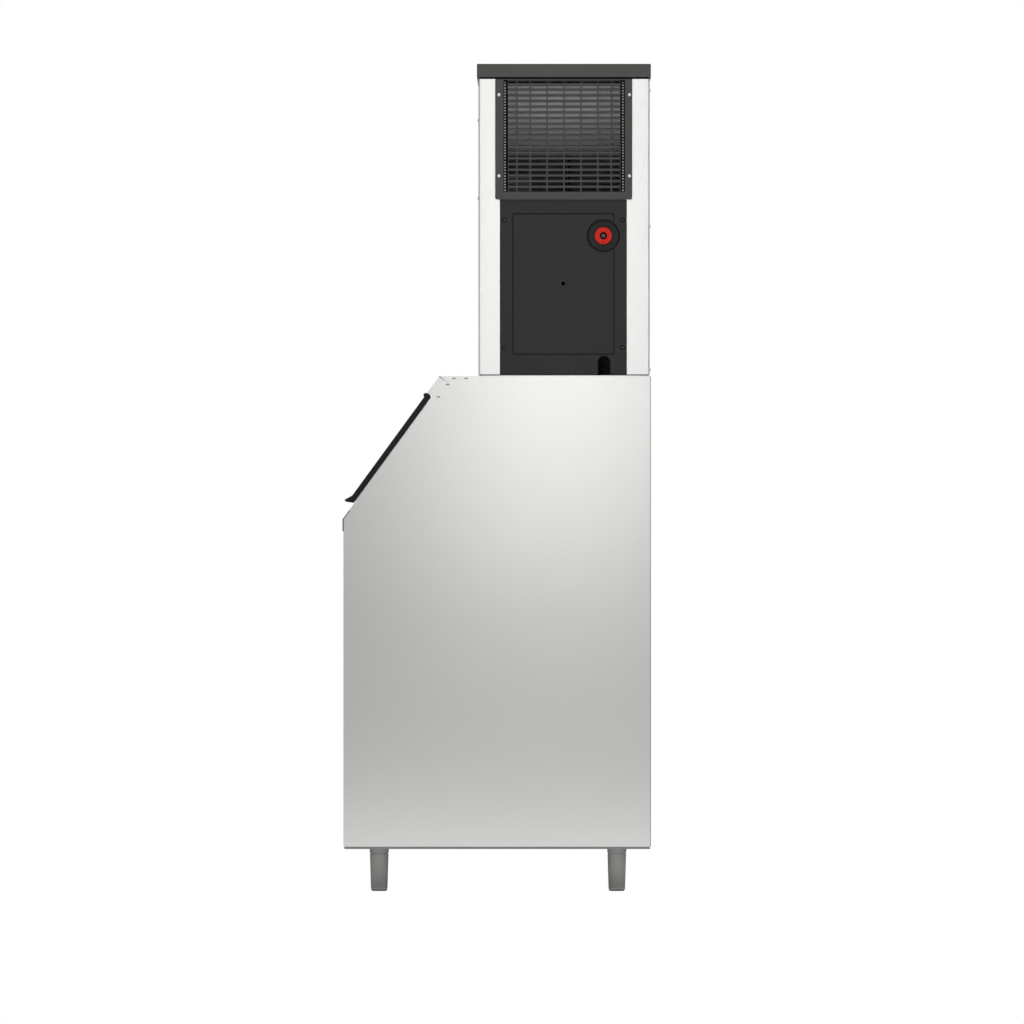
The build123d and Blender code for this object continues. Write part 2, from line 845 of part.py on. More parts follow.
with BuildPart() as front_panel_screws:
    with BuildSketch(Plane.XZ.offset(-head_front)):
        with Locations(*front_screws):
            Circle(head_radius)
    extrude(amount=head_rise)
    with BuildSketch(Plane.XZ.offset(-head_front)):
        with Locations(*front_screws):
            Circle(shank_radius)
    extrude(amount=-front_screw_shank)
    rims = front_panel_screws.edges().filter_by(GeomType.CIRCLE).group_by(Axis.Y)[0]
    fillet(rims, head_rise / 2)
save("front_panel_screws", front_panel_screws.part)

with BuildPart() as head_back_panel:
    with BuildSketch(Plane.XZ.offset(-head_back)):
        with Locations((0, (panel_bottom + head_top) / 2)):
            Rectangle(front_width, head_top - panel_bottom)
        with Locations((connection_x, connection_z)):
            Rectangle(connection_width, recess_height, mode=Mode.SUBTRACT)
        with Locations((exhaust_x, exhaust_z)):
            with GridLocations(exhaust_width + exhaust_bar, exhaust_pitch, 2, exhaust_rows):
                SlotOverall(exhaust_width, exhaust_slot, mode=Mode.SUBTRACT)
    extrude(amount=sheet)
save("head_back_panel", head_back_panel.part)

# Head: lid with a recessed step over the panels, a rim inside them and a lip at front and back
lid_bottom = head_top + lid_gap
lid_top = lid_bottom + lid_height
lid_front = head_front - lid_front_over
lid_middle = (lid_front + bin_back) / 2
lid_size = (head_width + 2 * lid_side_over, bin_back - lid_front)
with BuildPart() as head_lid:
    with BuildSketch(Plane.XY.offset(lid_bottom)):
        with Locations((0, lid_middle)):
            RectangleRounded(*lid_size, corner_radius)
    extrude(amount=lid_height)
    fillet(head_lid.faces().sort_by(Axis.Z)[-1].edges(), lid_edge_radius)
    with BuildSketch(Plane.XY.offset(head_top)):
        with Locations((0, head_middle)):
            RectangleRounded(
                head_width - 2 * lid_inset, head_depth - 2 * lid_inset, corner_radius - lid_inset
            )
    extrude(amount=lid_gap)
    rim_inset = 2 * (top_flange + sheet)
    with BuildSketch(Plane.XY.offset(head_top - lid_rim)):
        with Locations((0, head_middle)):
            Rectangle(head_width - rim_inset, head_depth - rim_inset)
    extrude(amount=lid_rim)
    lips = (
        (lid_front, head_front, lid_inset, lid_front_drop),
        (bin_back, head_back, -lid_inset, lid_back_drop),
    )
    for lip_edge, panel_face, lip_in, lip_drop in lips:
        with BuildSketch(Plane.YZ):
            Polygon(
                (lip_edge, lid_bottom),
                (panel_face + lip_in, lid_bottom),
                (panel_face + lip_in, head_top),
                (panel_face, head_top),
                (panel_face, lid_bottom - lip_drop),
                align=None,
            )
        extrude(amount=half_head - corner_radius, both=True)
    with BuildSketch(Plane.XY.offset(head_top - lid_rim)):
        with Locations((0, head_middle)):
            Rectangle(
                head_width - rim_inset - 2 * lid_rim_wall,
                head_depth - rim_inset - 2 * lid_rim_wall,
            )
    extrude(amount=lid_top - lid_wall - head_top + lid_rim, mode=Mode.SUBTRACT)
save("head_lid", head_lid.part)

# Air grille: moulded frame on the side panel, a skirt inside the opening, slats and ribs
grille_face = half_head + grille_proud
grille_y = (grille_front + grille_back) / 2
grille_z = (grille_bottom + head_top) / 2
skirt_size = (
    opening_back - opening_front - 2 * grille_gap,
    head_top - top_rail - grille_bottom - 2 * grille_gap,
)
skirt_place = (opening_middle, (head_top - top_rail + grille_bottom) / 2)
grille_hole = (grille_opening_back - grille_opening_front, grille_opening_top - grille_opening_bottom)
grille_hole_place = (
    (grille_opening_back + grille_opening_front) / 2,
    (grille_opening_top + grille_opening_bottom) / 2,
)
slat_front_x = grille_face - slat_set_back
rib_middle = grille_hole_place[0] + rib_shift
with BuildPart() as air_grille:
    with BuildSketch(Plane.YZ.offset(half_head)) as grille_frame:
        with Locations((grille_y, grille_z)):
            Rectangle(grille_back - grille_front, head_top - grille_bottom)
        fillet(grille_frame.vertices().group_by(Axis.Y)[0], grille_corner)
        with Locations(grille_hole_place):
            Rectangle(*grille_hole, mode=Mode.SUBTRACT)
        with Locations(*grille_screw_places):
            Circle(shank_radius + shank_fit, mode=Mode.SUBTRACT)
    extrude(amount=grille_proud)
    with BuildSketch(Plane.YZ.offset(half_head)):
        with Locations(skirt_place):
            Rectangle(*skirt_size)
        with Locations(skirt_place):
            Rectangle(
                skirt_size[0] - 2 * grille_skirt_wall,
                skirt_size[1] - 2 * grille_skirt_wall,
                mode=Mode.SUBTRACT,
            )
    extrude(amount=-grille_skirt)
    for slat in range(slat_count):
        slat_z = slat_first - slat * slat_pitch
        with BuildSketch(Plane.XZ.offset(-grille_opening_front)):
            Polygon(
                (slat_front_x, slat_z - slat_thick / 2),
                (slat_front_x, slat_z + slat_thick / 2),
                (slat_front_x - slat_depth, slat_z + slat_thick / 2 + slat_tilt),
                (slat_front_x - slat_depth, slat_z - slat_thick / 2 + slat_tilt),
                align=None,
            )
        extrude(amount=grille_opening_front - grille_opening_back)
    with BuildSketch(Plane.YZ.offset(slat_front_x - slat_depth)):
        for rib_side in rib_sides:
            with Locations((rib_middle + rib_side, grille_hole_place[1])):
                Rectangle(rib_thick, grille_hole[1])
    extrude(amount=rib_depth)
save("air_grille", air_grille.part)

with BuildPart() as grille_screws:
    with BuildSketch(Plane.YZ.offset(grille_face)):
        with Locations(*grille_screw_places):
            Circle(head_radius)
    extrude(amount=head_low)
    with BuildSketch(Plane.YZ.offset(grille_face)):
        with Locations(*grille_screw_places):
            Circle(shank_radius)
    extrude(amount=-grille_proud - sheet)
save("grille_screws", grille_screws.part)

# Service cover: tray with an embossed rectangle, a round dish, a centre eye and a cable notch
cover_front = opening_front + cover_gap
cover_back = opening_back - cover_gap
cover_low = panel_bottom + cover_gap
cover_top = grille_bottom - cover_gap
cover_middle = ((cover_front + cover_back) / 2, (cover_low + cover_top) / 2)
cover_size = (cover_back - cover_front, cover_top - cover_low)
cover_screw_places = [
    (y, z) for y in (cover_screw_front, cover_screw_back) for z in (cover_screw_low, cover_screw_top)
]
emboss_width = opening_back - opening_front - 2 * emboss_margin
emboss_height = grille_bottom - emboss_top_gap - emboss_low
rail_x = half_head - opening_flange
dish_floor = half_head - dish_depth
with BuildPart() as service_cover:
    with BuildSketch(Plane.YZ.offset(half_head)):
        with Locations(cover_middle):
            Rectangle(*cover_size)
    extrude(amount=-cover_rim)
    with BuildSketch(Plane.YZ.offset(half_head - cover_thick)):
        with Locations(cover_middle):
            Rectangle(cover_size[0] - 2 * cover_rim_wall, cover_size[1] - 2 * cover_rim_wall)
    extrude(amount=-cover_rim, mode=Mode.SUBTRACT)
    with BuildSketch(Plane.YZ.offset(half_head - cover_thick)):
        with Locations(*cover_screw_places):
            Circle(boss_radius)
    extrude(amount=rail_x - half_head + cover_thick)
    with BuildSketch(Plane.YZ.offset(half_head - cover_thick / 2)):
        with Locations((dish_y, dish_z)):
            Circle(dish_radius + dish_wall)
    extrude(amount=cover_thick / 2 - dish_depth - dish_wall)
    with BuildSketch(Plane.YZ.offset(half_head)):
        with Locations((dish_y, dish_z)):
            Circle(dish_radius)
    extrude(amount=-dish_depth, taper=dish_taper, mode=Mode.SUBTRACT)
    with BuildSketch(Plane.YZ.offset(dish_floor)):
        with Locations((dish_y, dish_z)):
            Circle(shaft_hole)
    extrude(amount=-dish_wall, mode=Mode.SUBTRACT)
    with BuildSketch(Plane.YZ.offset(half_head)):
        with Locations((cover_middle[0], emboss_low + emboss_height / 2)):
            RectangleRounded(emboss_width, emboss_height, emboss_corner)
            RectangleRounded(
                emboss_width - 2 * emboss_groove,
                emboss_height - 2 * emboss_groove,
                emboss_corner - emboss_groove,
                mode=Mode.SUBTRACT,
            )
        with Locations((dish_y, dish_z)):
            Circle(dish_radius + dish_wall, mode=Mode.SUBTRACT)
    extrude(amount=-emboss_depth, mode=Mode.SUBTRACT)
    with BuildSketch(Plane.YZ.offset(half_head)):
        with Locations((eye_y, eye_z)):
            Circle(eye_rim)
    extrude(amount=eye_rise)
    with BuildSketch(Plane.YZ.offset(half_head + eye_rise)):
        with Locations((eye_y, eye_z)):
            Circle(eye_radius)
    extrude(amount=-eye_rise - cover_thick, mode=Mode.SUBTRACT)
    with BuildSketch(Plane.YZ.offset(half_head)):
        with Locations((notch_y, cover_low + notch_height - notch_width / 2)):
            Circle(notch_width / 2)
        with Locations((notch_y, cover_low + (notch_height - notch_width / 2) / 2)):
            Rectangle(notch_width, notch_height - notch_width / 2)
    extrude(amount=-cover_rim, mode=Mode.SUBTRACT)
    with BuildSketch(Plane.YZ.offset(half_head)):
        with Locations(*cover_screw_places):
            Circle(screw_well)
    extrude(amount=-screw_well_depth, mode=Mode.SUBTRACT)
    with BuildSketch(Plane.YZ.offset(half_head)):
        with Locations(*cover_screw_places):
            Circle(shank_radius + shank_fit)
    extrude(amount=-opening_flange, mode=Mode.SUBTRACT)
save("service_cover", service_cover.part)

with BuildPart() as cover_screws:
    with BuildSketch(Plane.YZ.offset(half_head - screw_well_depth)):
        with Locations(*cover_screw_places):
            Circle(head_radius)
    extrude(amount=head_low)
    with BuildSketch(Plane.YZ.offset(half_head - screw_well_depth)):
        with Locations(*cover_screw_places):
            Circle(shank_radius)
    extrude(amount=screw_well_depth - opening_flange - rail_thick)
save("cover_screws", cover_screws.part)

with BuildPart() as cover_rails:
    with BuildSketch(Plane.YZ.offset(rail_x)):
        for rail_z in (cover_screw_low, cover_screw_top):
            with Locations((opening_middle, rail_z)):
                Rectangle(opening_back - opening_front + 2 * rail_overlap, rail_height)
        with Locations(*cover_screw_places):
            Circle(shank_radius + shank_fit, mode=Mode.SUBTRACT)
        with Locations((dish_y, dish_z)):
            Circle(dish_radius + dish_wall + sheet, mode=Mode.SUBTRACT)
    extrude(amount=-rail_thick)
save("cover_rails", cover_rails.part)

# Rotary switch: red ring knob with its shaft, and the switch body behind the dish
knob_back = dish_floor + knob_gap
with BuildPart() as switch_knob:
    with BuildSketch(Plane.YZ.offset(knob_back)):
        with Locations((dish_y, dish_z)):
            Circle(knob_radius)
    extrude(amount=knob_length)
    fillet(switch_knob.edges().sort_by(Axis.X)[-1], knob_round)
    with BuildSketch(Plane.YZ.offset(knob_back + knob_length)):
        with Locations((dish_y, dish_z)):
            Circle(knob_bore + knob_lip)
    extrude(amount=knob_lip_rise)
    with BuildSketch(Plane.YZ.offset(knob_back + knob_length + knob_lip_rise)):
        with Locations((dish_y, dish_z)):
            Circle(knob_bore)
    extrude(amount=knob_web - knob_length - knob_lip_rise, mode=Mode.SUBTRACT)
    with BuildSketch(Plane.YZ.offset(knob_back + knob_length)):
        with Locations((dish_y, dish_z - (knob_bore + knob_radius) / 2)):
            Rectangle(knob_mark, knob_mark * 2)
    extrude(amount=-knob_mark_depth, mode=Mode.SUBTRACT)
    with BuildSketch(Plane.YZ.offset(knob_back - knob_gap - dish_wall - shaft_bite)):
        with Locations((dish_y, dish_z)):
            Circle(shaft_radius)
    extrude(amount=knob_gap + dish_wall + shaft_bite + knob_length - knob_mark_depth)
save("switch_knob", switch_knob.part)

with BuildPart() as switch_body:
    with BuildSketch(Plane.YZ.offset(dish_floor - dish_wall)):
        with Locations((dish_y, dish_z)):
            RectangleRounded(switch_size, switch_size, switch_size / 12)
    extrude(amount=-switch_depth)
    with BuildSketch(Plane.YZ.offset(dish_floor - dish_wall)):
        with Locations((dish_y, dish_z)):
            Circle(shaft_radius + shaft_fit)
    extrude(amount=-shaft_bite - 1, mode=Mode.SUBTRACT)
save("switch_body", switch_body.part)

# Machine compartment: partition and the shelf that carries the condenser
shelf_front = head_front + sheet + inner_gap
shelf_back = head_back - sheet - inner_gap
shelf_middle = (shelf_front + shelf_back) / 2
with BuildPart() as partition:
    with BuildSketch(Plane.YZ.offset(partition_x)):
        with Locations((shelf_middle, (panel_bottom + head_top - partition_top_gap) / 2)):
            Rectangle(shelf_back - shelf_front, head_top - partition_top_gap - panel_bottom)
        with Locations((line_y, feed_z), (line_y, suction_z)):
            Circle(line_hole, mode=Mode.SUBTRACT)
    extrude(amount=-sheet)
save("partition", partition.part)

shelf_middle_x = (partition_x + rail_x) / 2
with BuildPart() as component_shelf:
    with BuildSketch(Plane.XY.offset(shelf_z)):
        with Locations((shelf_middle_x, shelf_middle)):
            Rectangle(rail_x - partition_x, shelf_back - shelf_front)
        with Locations((discharge_x, line_y), (condenser_line_x, line_y), (suction_x, compressor_y)):
            Circle(line_hole, mode=Mode.SUBTRACT)
    extrude(amount=shelf_thick)
save("component_shelf", component_shelf.part)

# Condenser: fin block between end plates, with two pipe stubs
condenser_x = condenser_back_x + condenser_thick / 2
condenser_low = shelf_z + shelf_thick
condenser_length = condenser_back - condenser_front
with BuildPart() as condenser:
    with BuildSketch(Plane.XZ.offset(-condenser_front)):
        with Locations((condenser_x, condenser_low + condenser_height / 2)):
            Rectangle(condenser_thick, condenser_height)
    extrude(amount=-end_plate)
    with BuildSketch(Plane.XZ.offset(end_plate - condenser_back)):
        with Locations((condenser_x, condenser_low + condenser_height / 2)):
            Rectangle(condenser_thick, condenser_height)
    extrude(amount=-end_plate)
    with BuildSketch(Plane.XZ.offset(-condenser_front - end_plate)):
        with Locations((condenser_x, condenser_low + condenser_height / 2)):
            Rectangle(condenser_thick - 2 * end_plate_over, condenser_height - 2 * end_plate_over)
    extrude(amount=2 * end_plate - condenser_length)
    with BuildSketch(Plane.XZ.offset(-condenser_back)):
        with Locations((condenser_x, condenser_in_z), (condenser_x, condenser_out_z)):
            Circle(stub_radius)
    extrude(amount=-stub_length)
save("condenser", condenser.part)

# Fan shroud behind the condenser, with a strap that carries the motor
shroud_back_x = condenser_back_x - shroud_depth
fan_y = (condenser_front + condenser_back) / 2
fan_z = condenser_low + condenser_height / 2
with BuildPart() as fan_shroud:
    with BuildSketch(Plane.YZ.offset(condenser_back_x)):
        with Locations((fan_y, fan_z)):
            Rectangle(condenser_length, condenser_height)
    extrude(amount=-shroud_depth)
    with BuildSketch(Plane.YZ.offset(condenser_back_x)):
        with Locations((fan_y, fan_z)):
            Rectangle(condenser_length - 2 * shroud_wall, condenser_height - 2 * shroud_wall)
    extrude(amount=shroud_wall - shroud_depth, mode=Mode.SUBTRACT)
    with BuildSketch(Plane.YZ.offset(shroud_back_x)):
        with Locations((fan_y, fan_z)):
            Circle(fan_radius + fan_clearance)
            Rectangle(strap_width, 2 * (fan_radius + 2 * fan_clearance), mode=Mode.SUBTRACT)
    extrude(amount=shroud_wall, mode=Mode.SUBTRACT)
    with BuildSketch(Plane.YZ.offset(shroud_back_x)):
        with Locations((fan_y, fan_z)):
            Circle(fan_shaft_radius + fan_clearance)
    extrude(amount=shroud_wall, mode=Mode.SUBTRACT)
save("fan_shroud", fan_shroud.part)

with BuildPart() as fan_motor:
    with BuildSketch(Plane.YZ.offset(shroud_back_x)):
        with Locations((fan_y, fan_z)):
            Circle(motor_radius)
    extrude(amount=-motor_length)
    fillet(fan_motor.edges().sort_by(Axis.X)[0], motor_radius / 6)
    with BuildSketch(Plane.YZ.offset(shroud_back_x)):
        with Locations((fan_y, fan_z)):
            Circle(fan_shaft_radius + fan_shaft_fit)
    extrude(amount=-fan_shaft_bite - 1, mode=Mode.SUBTRACT)
save("fan_motor", fan_motor.part)

# Fan: hub with its shaft and pitched blades
fan_hub_x = shroud_back_x + shroud_wall + fan_set_back
with BuildPart() as fan_blade:
    with BuildSketch(Plane.YZ.offset(fan_hub_x)):
        with Locations((fan_y, fan_z)):
            Circle(fan_hub_radius)
    extrude(amount=fan_hub_length)
    with BuildSketch(Plane.YZ.offset(shroud_back_x - fan_shaft_bite)):
        with Locations((fan_y, fan_z)):
            Circle(fan_shaft_radius)
    extrude(amount=fan_hub_x - shroud_back_x + fan_shaft_bite)
    for blade in range(fan_blade_count):
        blade_plane = Plane(
            origin=(fan_hub_x + fan_hub_length / 2, fan_y, fan_z),
            x_dir=(1, 0, 0),
            z_dir=(0, cos(radians(360 / fan_blade_count * blade)), sin(radians(360 / fan_blade_count * blade))),
        )
        with BuildSketch(blade_plane.offset(fan_hub_radius - fan_blade_thick)):
            Rectangle(fan_blade_thick, fan_blade_chord, rotation=fan_blade_pitch)
        extrude(amount=fan_radius - fan_hub_radius)
save("fan_blade", fan_blade.part)

# Compressor: welded shell on a base plate, with a suction and a discharge stub
mount_places = [
    (compressor_x + x * mount_spread / 2, compressor_y + y * mount_spread / 2) for x in (-1, 1) for y in (-1, 1)
]
compressor_low = panel_bottom + mount_height
shell_low = compressor_low + compressor_base
shell_top = shell_low + compressor_height
stub_top = shell_top + stub_rise
with BuildPart() as compressor:
    with BuildSketch(Plane.XY.offset(compressor_low)):
        with Locations((compressor_x, compressor_y)):
            RectangleRounded(compressor_base_size, compressor_base_size, mount_radius)
    extrude(amount=compressor_base)
    with BuildSketch(Plane.XY.offset(shell_low)):
        with Locations((compressor_x, compressor_y)):
            Circle(compressor_radius)
    extrude(amount=compressor_height)
    fillet(compressor.edges().filter_by(GeomType.CIRCLE).sort_by(Axis.Z)[-1], compressor_dome)
    with BuildSketch(Plane.XY.offset(stub_top)):
        with Locations((discharge_x, compressor_y), (suction_x, compressor_y)):
            Circle(stub_radius)
    extrude(amount=-stub_rise - compressor_dome)
save("compressor", compressor.part)

with BuildPart() as compressor_mounts:
    with BuildSketch(Plane.XY.offset(panel_bottom)):
        with Locations(*mount_places):
            Circle(mount_radius)
    extrude(amount=mount_height)
save("compressor_mounts", compressor_mounts.part)

# Drier under the condenser's outlet
with BuildPart() as filter_drier:
    with BuildSketch(Plane.XY.offset(drier_top)):
        with Locations((condenser_line_x, line_y)):
            Circle(drier_radius)
    extrude(amount=-drier_length)
    chamfer(filter_drier.edges().filter_by(GeomType.CIRCLE), drier_radius / 3)
save("filter_drier", filter_drier.part)

# Refrigerant lines between compressor, condenser, drier and evaporator
condenser_stub_y = condenser_back + stub_length
coil_y = plate_face + plate_thick + coil_radius
routes = [
    [
        (discharge_x, compressor_y, stub_top),
        (discharge_x, compressor_y, stub_top + 60),
        (discharge_x, line_y, stub_top + 60),
        (discharge_x, line_y, condenser_in_z),
        (condenser_line_x, line_y, condenser_in_z),
        (condenser_line_x, condenser_stub_y, condenser_in_z),
    ],
    [
        (condenser_line_x, condenser_stub_y, condenser_out_z),
        (condenser_line_x, line_y, condenser_out_z),
        (condenser_line_x, line_y, drier_top),
    ],
    [
        (condenser_line_x, line_y, drier_top - drier_length),
        (condenser_line_x, line_y, line_low_z),
        (feed_x, line_y, line_low_z),
        (feed_x, line_y, feed_z),
        (coil_right, line_y, feed_z),
        (coil_right, coil_y + coil_radius, feed_z),
    ],
    [
        (suction_x, compressor_y, stub_top),
        (suction_x, compressor_y, suction_z),
        (suction_x, line_y, suction_z),
        (coil_right, line_y, suction_z),
        (coil_right, coil_y + coil_radius, suction_z),
    ],
]
with BuildPart() as refrigerant_lines:
    for route in routes:
        with BuildLine() as path:
            FilletPolyline(*route, radius=line_bend)
        with BuildSketch(Plane(origin=path.line @ 0, z_dir=path.line % 0)):
            Circle(line_radius)
        sweep(path=path.line)
save("refrigerant_lines", refrigerant_lines.part)

# Control box on the partition
control_height = shelf_z - control_top_gap - control_bottom
with BuildPart() as control_box:
    with BuildSketch(Plane.YZ.offset(partition_x)):
        with Locations((control_front + control_width / 2, control_bottom + control_height / 2)):
            RectangleRounded(control_width, control_height, control_wall * 2)
    extrude(amount=control_depth)
    with BuildSketch(Plane.YZ.offset(partition_x + control_wall)):
        with Locations((control_front + control_width / 2, control_bottom + control_height / 2)):
            Rectangle(control_width - 2 * control_wall, control_height - 2 * control_wall)
    extrude(amount=control_depth - 2 * control_wall, mode=Mode.SUBTRACT)
save("control_box", control_box.part)

# Freezing compartment: two side walls beside the drop opening
wall_left = drop_left - base_wall
wall_right = drop_right + base_wall
pivot_bore = curtain_pin + curtain_fit
with BuildPart() as evaporator_sides:
    for wall_x in (wall_left - side_wall, wall_right):
        with BuildSketch(Plane.YZ.offset(wall_x)):
            with Locations(((side_front + side_back) / 2, (panel_bottom + side_top) / 2)):
                Rectangle(side_back - side_front, side_top - panel_bottom)
            with Locations((curtain_face - curtain_thick / 2, curtain_pivot_z)):
                Circle(pivot_bore, mode=Mode.SUBTRACT)
        extrude(amount=side_wall)
save("evaporator_sides", evaporator_sides.part)

# Evaporator: copper plate with a grid of cells that face the front
plate_middle = (wall_left + wall_right) / 2
cell_columns = int((wall_right - wall_left - 2 * cell_margin) / cell_pitch)
cell_rows = int((tube_z - tube_radius - plate_top_gap - plate_bottom) / cell_pitch)
plate_height = cell_rows * cell_pitch
plate_z = plate_bottom + plate_height / 2
cell_size = cell_pitch - cell_wall
with BuildPart() as evaporator:
    with BuildSketch(Plane.XZ.offset(-plate_face)):
        with Locations((plate_middle, plate_z)):
            Rectangle(wall_right - wall_left, plate_height)
    extrude(amount=-plate_thick)
    with BuildSketch(Plane.XZ.offset(-plate_face)):
        with Locations((plate_middle, plate_z)):
            Rectangle(cell_columns * cell_pitch + cell_wall, plate_height)
            with GridLocations(cell_pitch, cell_pitch, cell_columns, cell_rows):
                Rectangle(cell_size, cell_size, mode=Mode.SUBTRACT)
    extrude(amount=cell_depth)
save("evaporator", evaporator.part)

# Evaporator coil: one tube in level passes behind the plate
pass_pitch = (suction_z - feed_z) / (coil_passes - 1)
coil_points = []
for level in range(coil_passes):
    level_z = feed_z + level * pass_pitch
    ends = (coil_right, coil_left) if level % 2 == 0 else (coil_left, coil_right)
    coil_points += [(end, coil_y, level_z) for end in ends]
with BuildPart() as evaporator_coil:
    with BuildLine() as path:
        FilletPolyline(*coil_points, radius=pass_pitch / 2.2)
    with BuildSketch(Plane(origin=path.line @ 0, z_dir=path.line % 0)):
        Circle(coil_radius)
    sweep(path=path.line)
save("evaporator_coil", evaporator_coil.part)

# Water curtain: flap in front of the cells, hung on two pins
curtain_half = (wall_right - wall_left) / 2 - curtain_gap
curtain_y = curtain_face - curtain_thick / 2
with BuildPart() as water_curtain:
    with BuildSketch(Plane.YZ.offset(plate_middle)):
        with Locations((curtain_y, (curtain_bottom + curtain_pivot_z) / 2)):
            Rectangle(curtain_thick, curtain_pivot_z - curtain_bottom)
        with Locations((curtain_y, curtain_pivot_z)):
            Circle(curtain_bead)
    extrude(amount=curtain_half, both=True)
    with BuildSketch(Plane.YZ.offset(plate_middle)):
        with Locations((curtain_y, curtain_pivot_z)):
            Circle(curtain_pin)
    extrude(amount=curtain_half + curtain_gap + curtain_pin_length, both=True)
save("water_curtain", water_curtain.part)

# Water trough under the evaporator
with BuildPart() as water_trough:
    with BuildSketch(Plane.YZ.offset(plate_middle)):
        with Locations(((trough_front + trough_back) / 2, trough_bottom + trough_height / 2)):
            Rectangle(trough_back - trough_front, trough_height)
    extrude(amount=(wall_right - wall_left) / 2, both=True)
    offset(amount=-trough_wall, openings=water_trough.faces().sort_by(Axis.Z)[-1])
save("water_trough", water_trough.part)

# Pump in the trough, with its motor above the water
pump_foot = trough_bottom + trough_wall
with BuildPart() as water_pump:
    with BuildSketch(Plane.XY.offset(pump_foot)):
        with Locations((pump_x, pump_y)):
            Circle(pump_radius)
    extrude(amount=pump_foot_height)
    with BuildSketch(Plane.XY.offset(pump_foot)):
        with Locations((pump_x, pump_y)):
            Circle(pump_neck)
    extrude(amount=motor_z - pump_foot)
    with BuildSketch(Plane.XY.offset(motor_z)):
        with Locations((pump_x, pump_y)):
            Circle(pump_motor_radius)
    extrude(amount=pump_motor_height)
    with BuildSketch(Plane.YZ.offset(pump_x)):
        with Locations((pump_y, pump_foot + pump_foot_height / 2)):
            Circle(hose_radius)
    extrude(amount=-pump_radius - stub_length)
save("water_pump", water_pump.part)

# Distributor: tube over the cells with a row of small holes and an inlet stub
with BuildPart() as distributor_tube:
    with BuildSketch(Plane.YZ.offset(plate_middle)):
        with Locations((tube_y, tube_z)):
            Circle(tube_radius)
    extrude(amount=(wall_right - wall_left) / 2, both=True)
    with BuildSketch(Plane.XZ.offset(-tube_y)):
        with Locations((hose_x, tube_z)):
            Circle(hose_radius)
    extrude(amount=-tube_radius - stub_length)
    with BuildSketch(Plane.YZ.offset(plate_middle)):
        with Locations((tube_y, tube_z)):
            Circle(tube_radius - base_wall)
    extrude(amount=(wall_right - wall_left) / 2 - base_wall, both=True, mode=Mode.SUBTRACT)
    with BuildSketch(Plane.XY.offset(tube_z)):
        with Locations((plate_middle, tube_y)):
            with GridLocations(cell_pitch, cell_pitch, cell_columns, 1):
                Circle(tube_hole)
    extrude(amount=-tube_radius, mode=Mode.SUBTRACT)
save("distributor_tube", distributor_tube.part)

# Connections: a recess in the head's back for the water inlet and the drain
inlet_x = connection_x + connection_spread / 2
drain_x = connection_x - connection_spread / 2
recess_front = head_back - recess_depth
with BuildPart() as connection_recess:
    with BuildSketch(Plane.XZ.offset(-head_back)):
        with Locations((connection_x, connection_z)):
            Rectangle(connection_width, recess_height)
    extrude(amount=recess_depth)
    with BuildSketch(Plane.XZ.offset(-head_back)):
        with Locations((connection_x, connection_z)):
            Rectangle(connection_width - 2 * recess_wall, recess_height - 2 * recess_wall)
    extrude(amount=recess_depth - recess_wall, mode=Mode.SUBTRACT)
    with BuildSketch(Plane.XZ.offset(-head_back)):
        with Locations((inlet_x, connection_z), (drain_x, connection_z)):
            Circle(pipe_radius)
    extrude(amount=recess_depth, mode=Mode.SUBTRACT)
save("connection_recess", connection_recess.part)

with BuildPart() as inlet_valve:
    with BuildSketch(Plane.XZ.offset(-recess_front)):
        with Locations((inlet_x, connection_z)):
            RectangleRounded(valve_size, valve_size, valve_size / 10)
    extrude(amount=valve_length)
    with BuildSketch(Plane.XZ.offset(pipe_set_back - head_back)):
        with Locations((inlet_x, connection_z)):
            Circle(pipe_radius)
    extrude(amount=recess_depth - pipe_set_back)
    with BuildSketch(Plane.XZ.offset(pipe_set_back - head_back)):
        with Locations((inlet_x, connection_z)):
            Circle(thread_radius)
    extrude(amount=thread_length)
    with BuildSketch(Plane.XZ.offset(pipe_set_back - head_back)):
        with Locations((inlet_x, connection_z)):
            Circle(pipe_bore)
    extrude(amount=recess_depth - pipe_set_back, mode=Mode.SUBTRACT)
    with BuildSketch(Plane.XY.offset(connection_z + valve_size / 2)):
        with Locations((inlet_x, valve_y)):
            Circle(hose_radius)
    extrude(amount=stub_length)
save("inlet_valve", inlet_valve.part)

# Hoses: pump to distributor, valve to trough
hose_low = pump_foot + pump_foot_height / 2
hose_start = pump_x - pump_radius - stub_length
hose_end = tube_y + tube_radius + stub_length
fill_top = trough_bottom + trough_height + 40
hose_routes = [
    [
        (hose_start, pump_y, hose_low),
        (hose_x, pump_y, hose_low),
        (hose_x, pump_y, tube_z),
        (hose_x, hose_end, tube_z),
    ],
    [
        (inlet_x, valve_y, connection_z + valve_size / 2 + stub_length),
        (inlet_x, valve_y, fill_top),
        (inlet_x, fill_y, fill_top),
        (inlet_x, fill_y, fill_top - 30),
    ],
]
with BuildPart() as water_hoses:
    for route in hose_routes:
        with BuildLine() as path:
            FilletPolyline(*route, radius=hose_bend)
        with BuildSketch(Plane(origin=path.line @ 0, z_dir=path.line % 0)):
            Circle(hose_radius)
        sweep(path=path.line)
save("water_hoses", water_hoses.part)

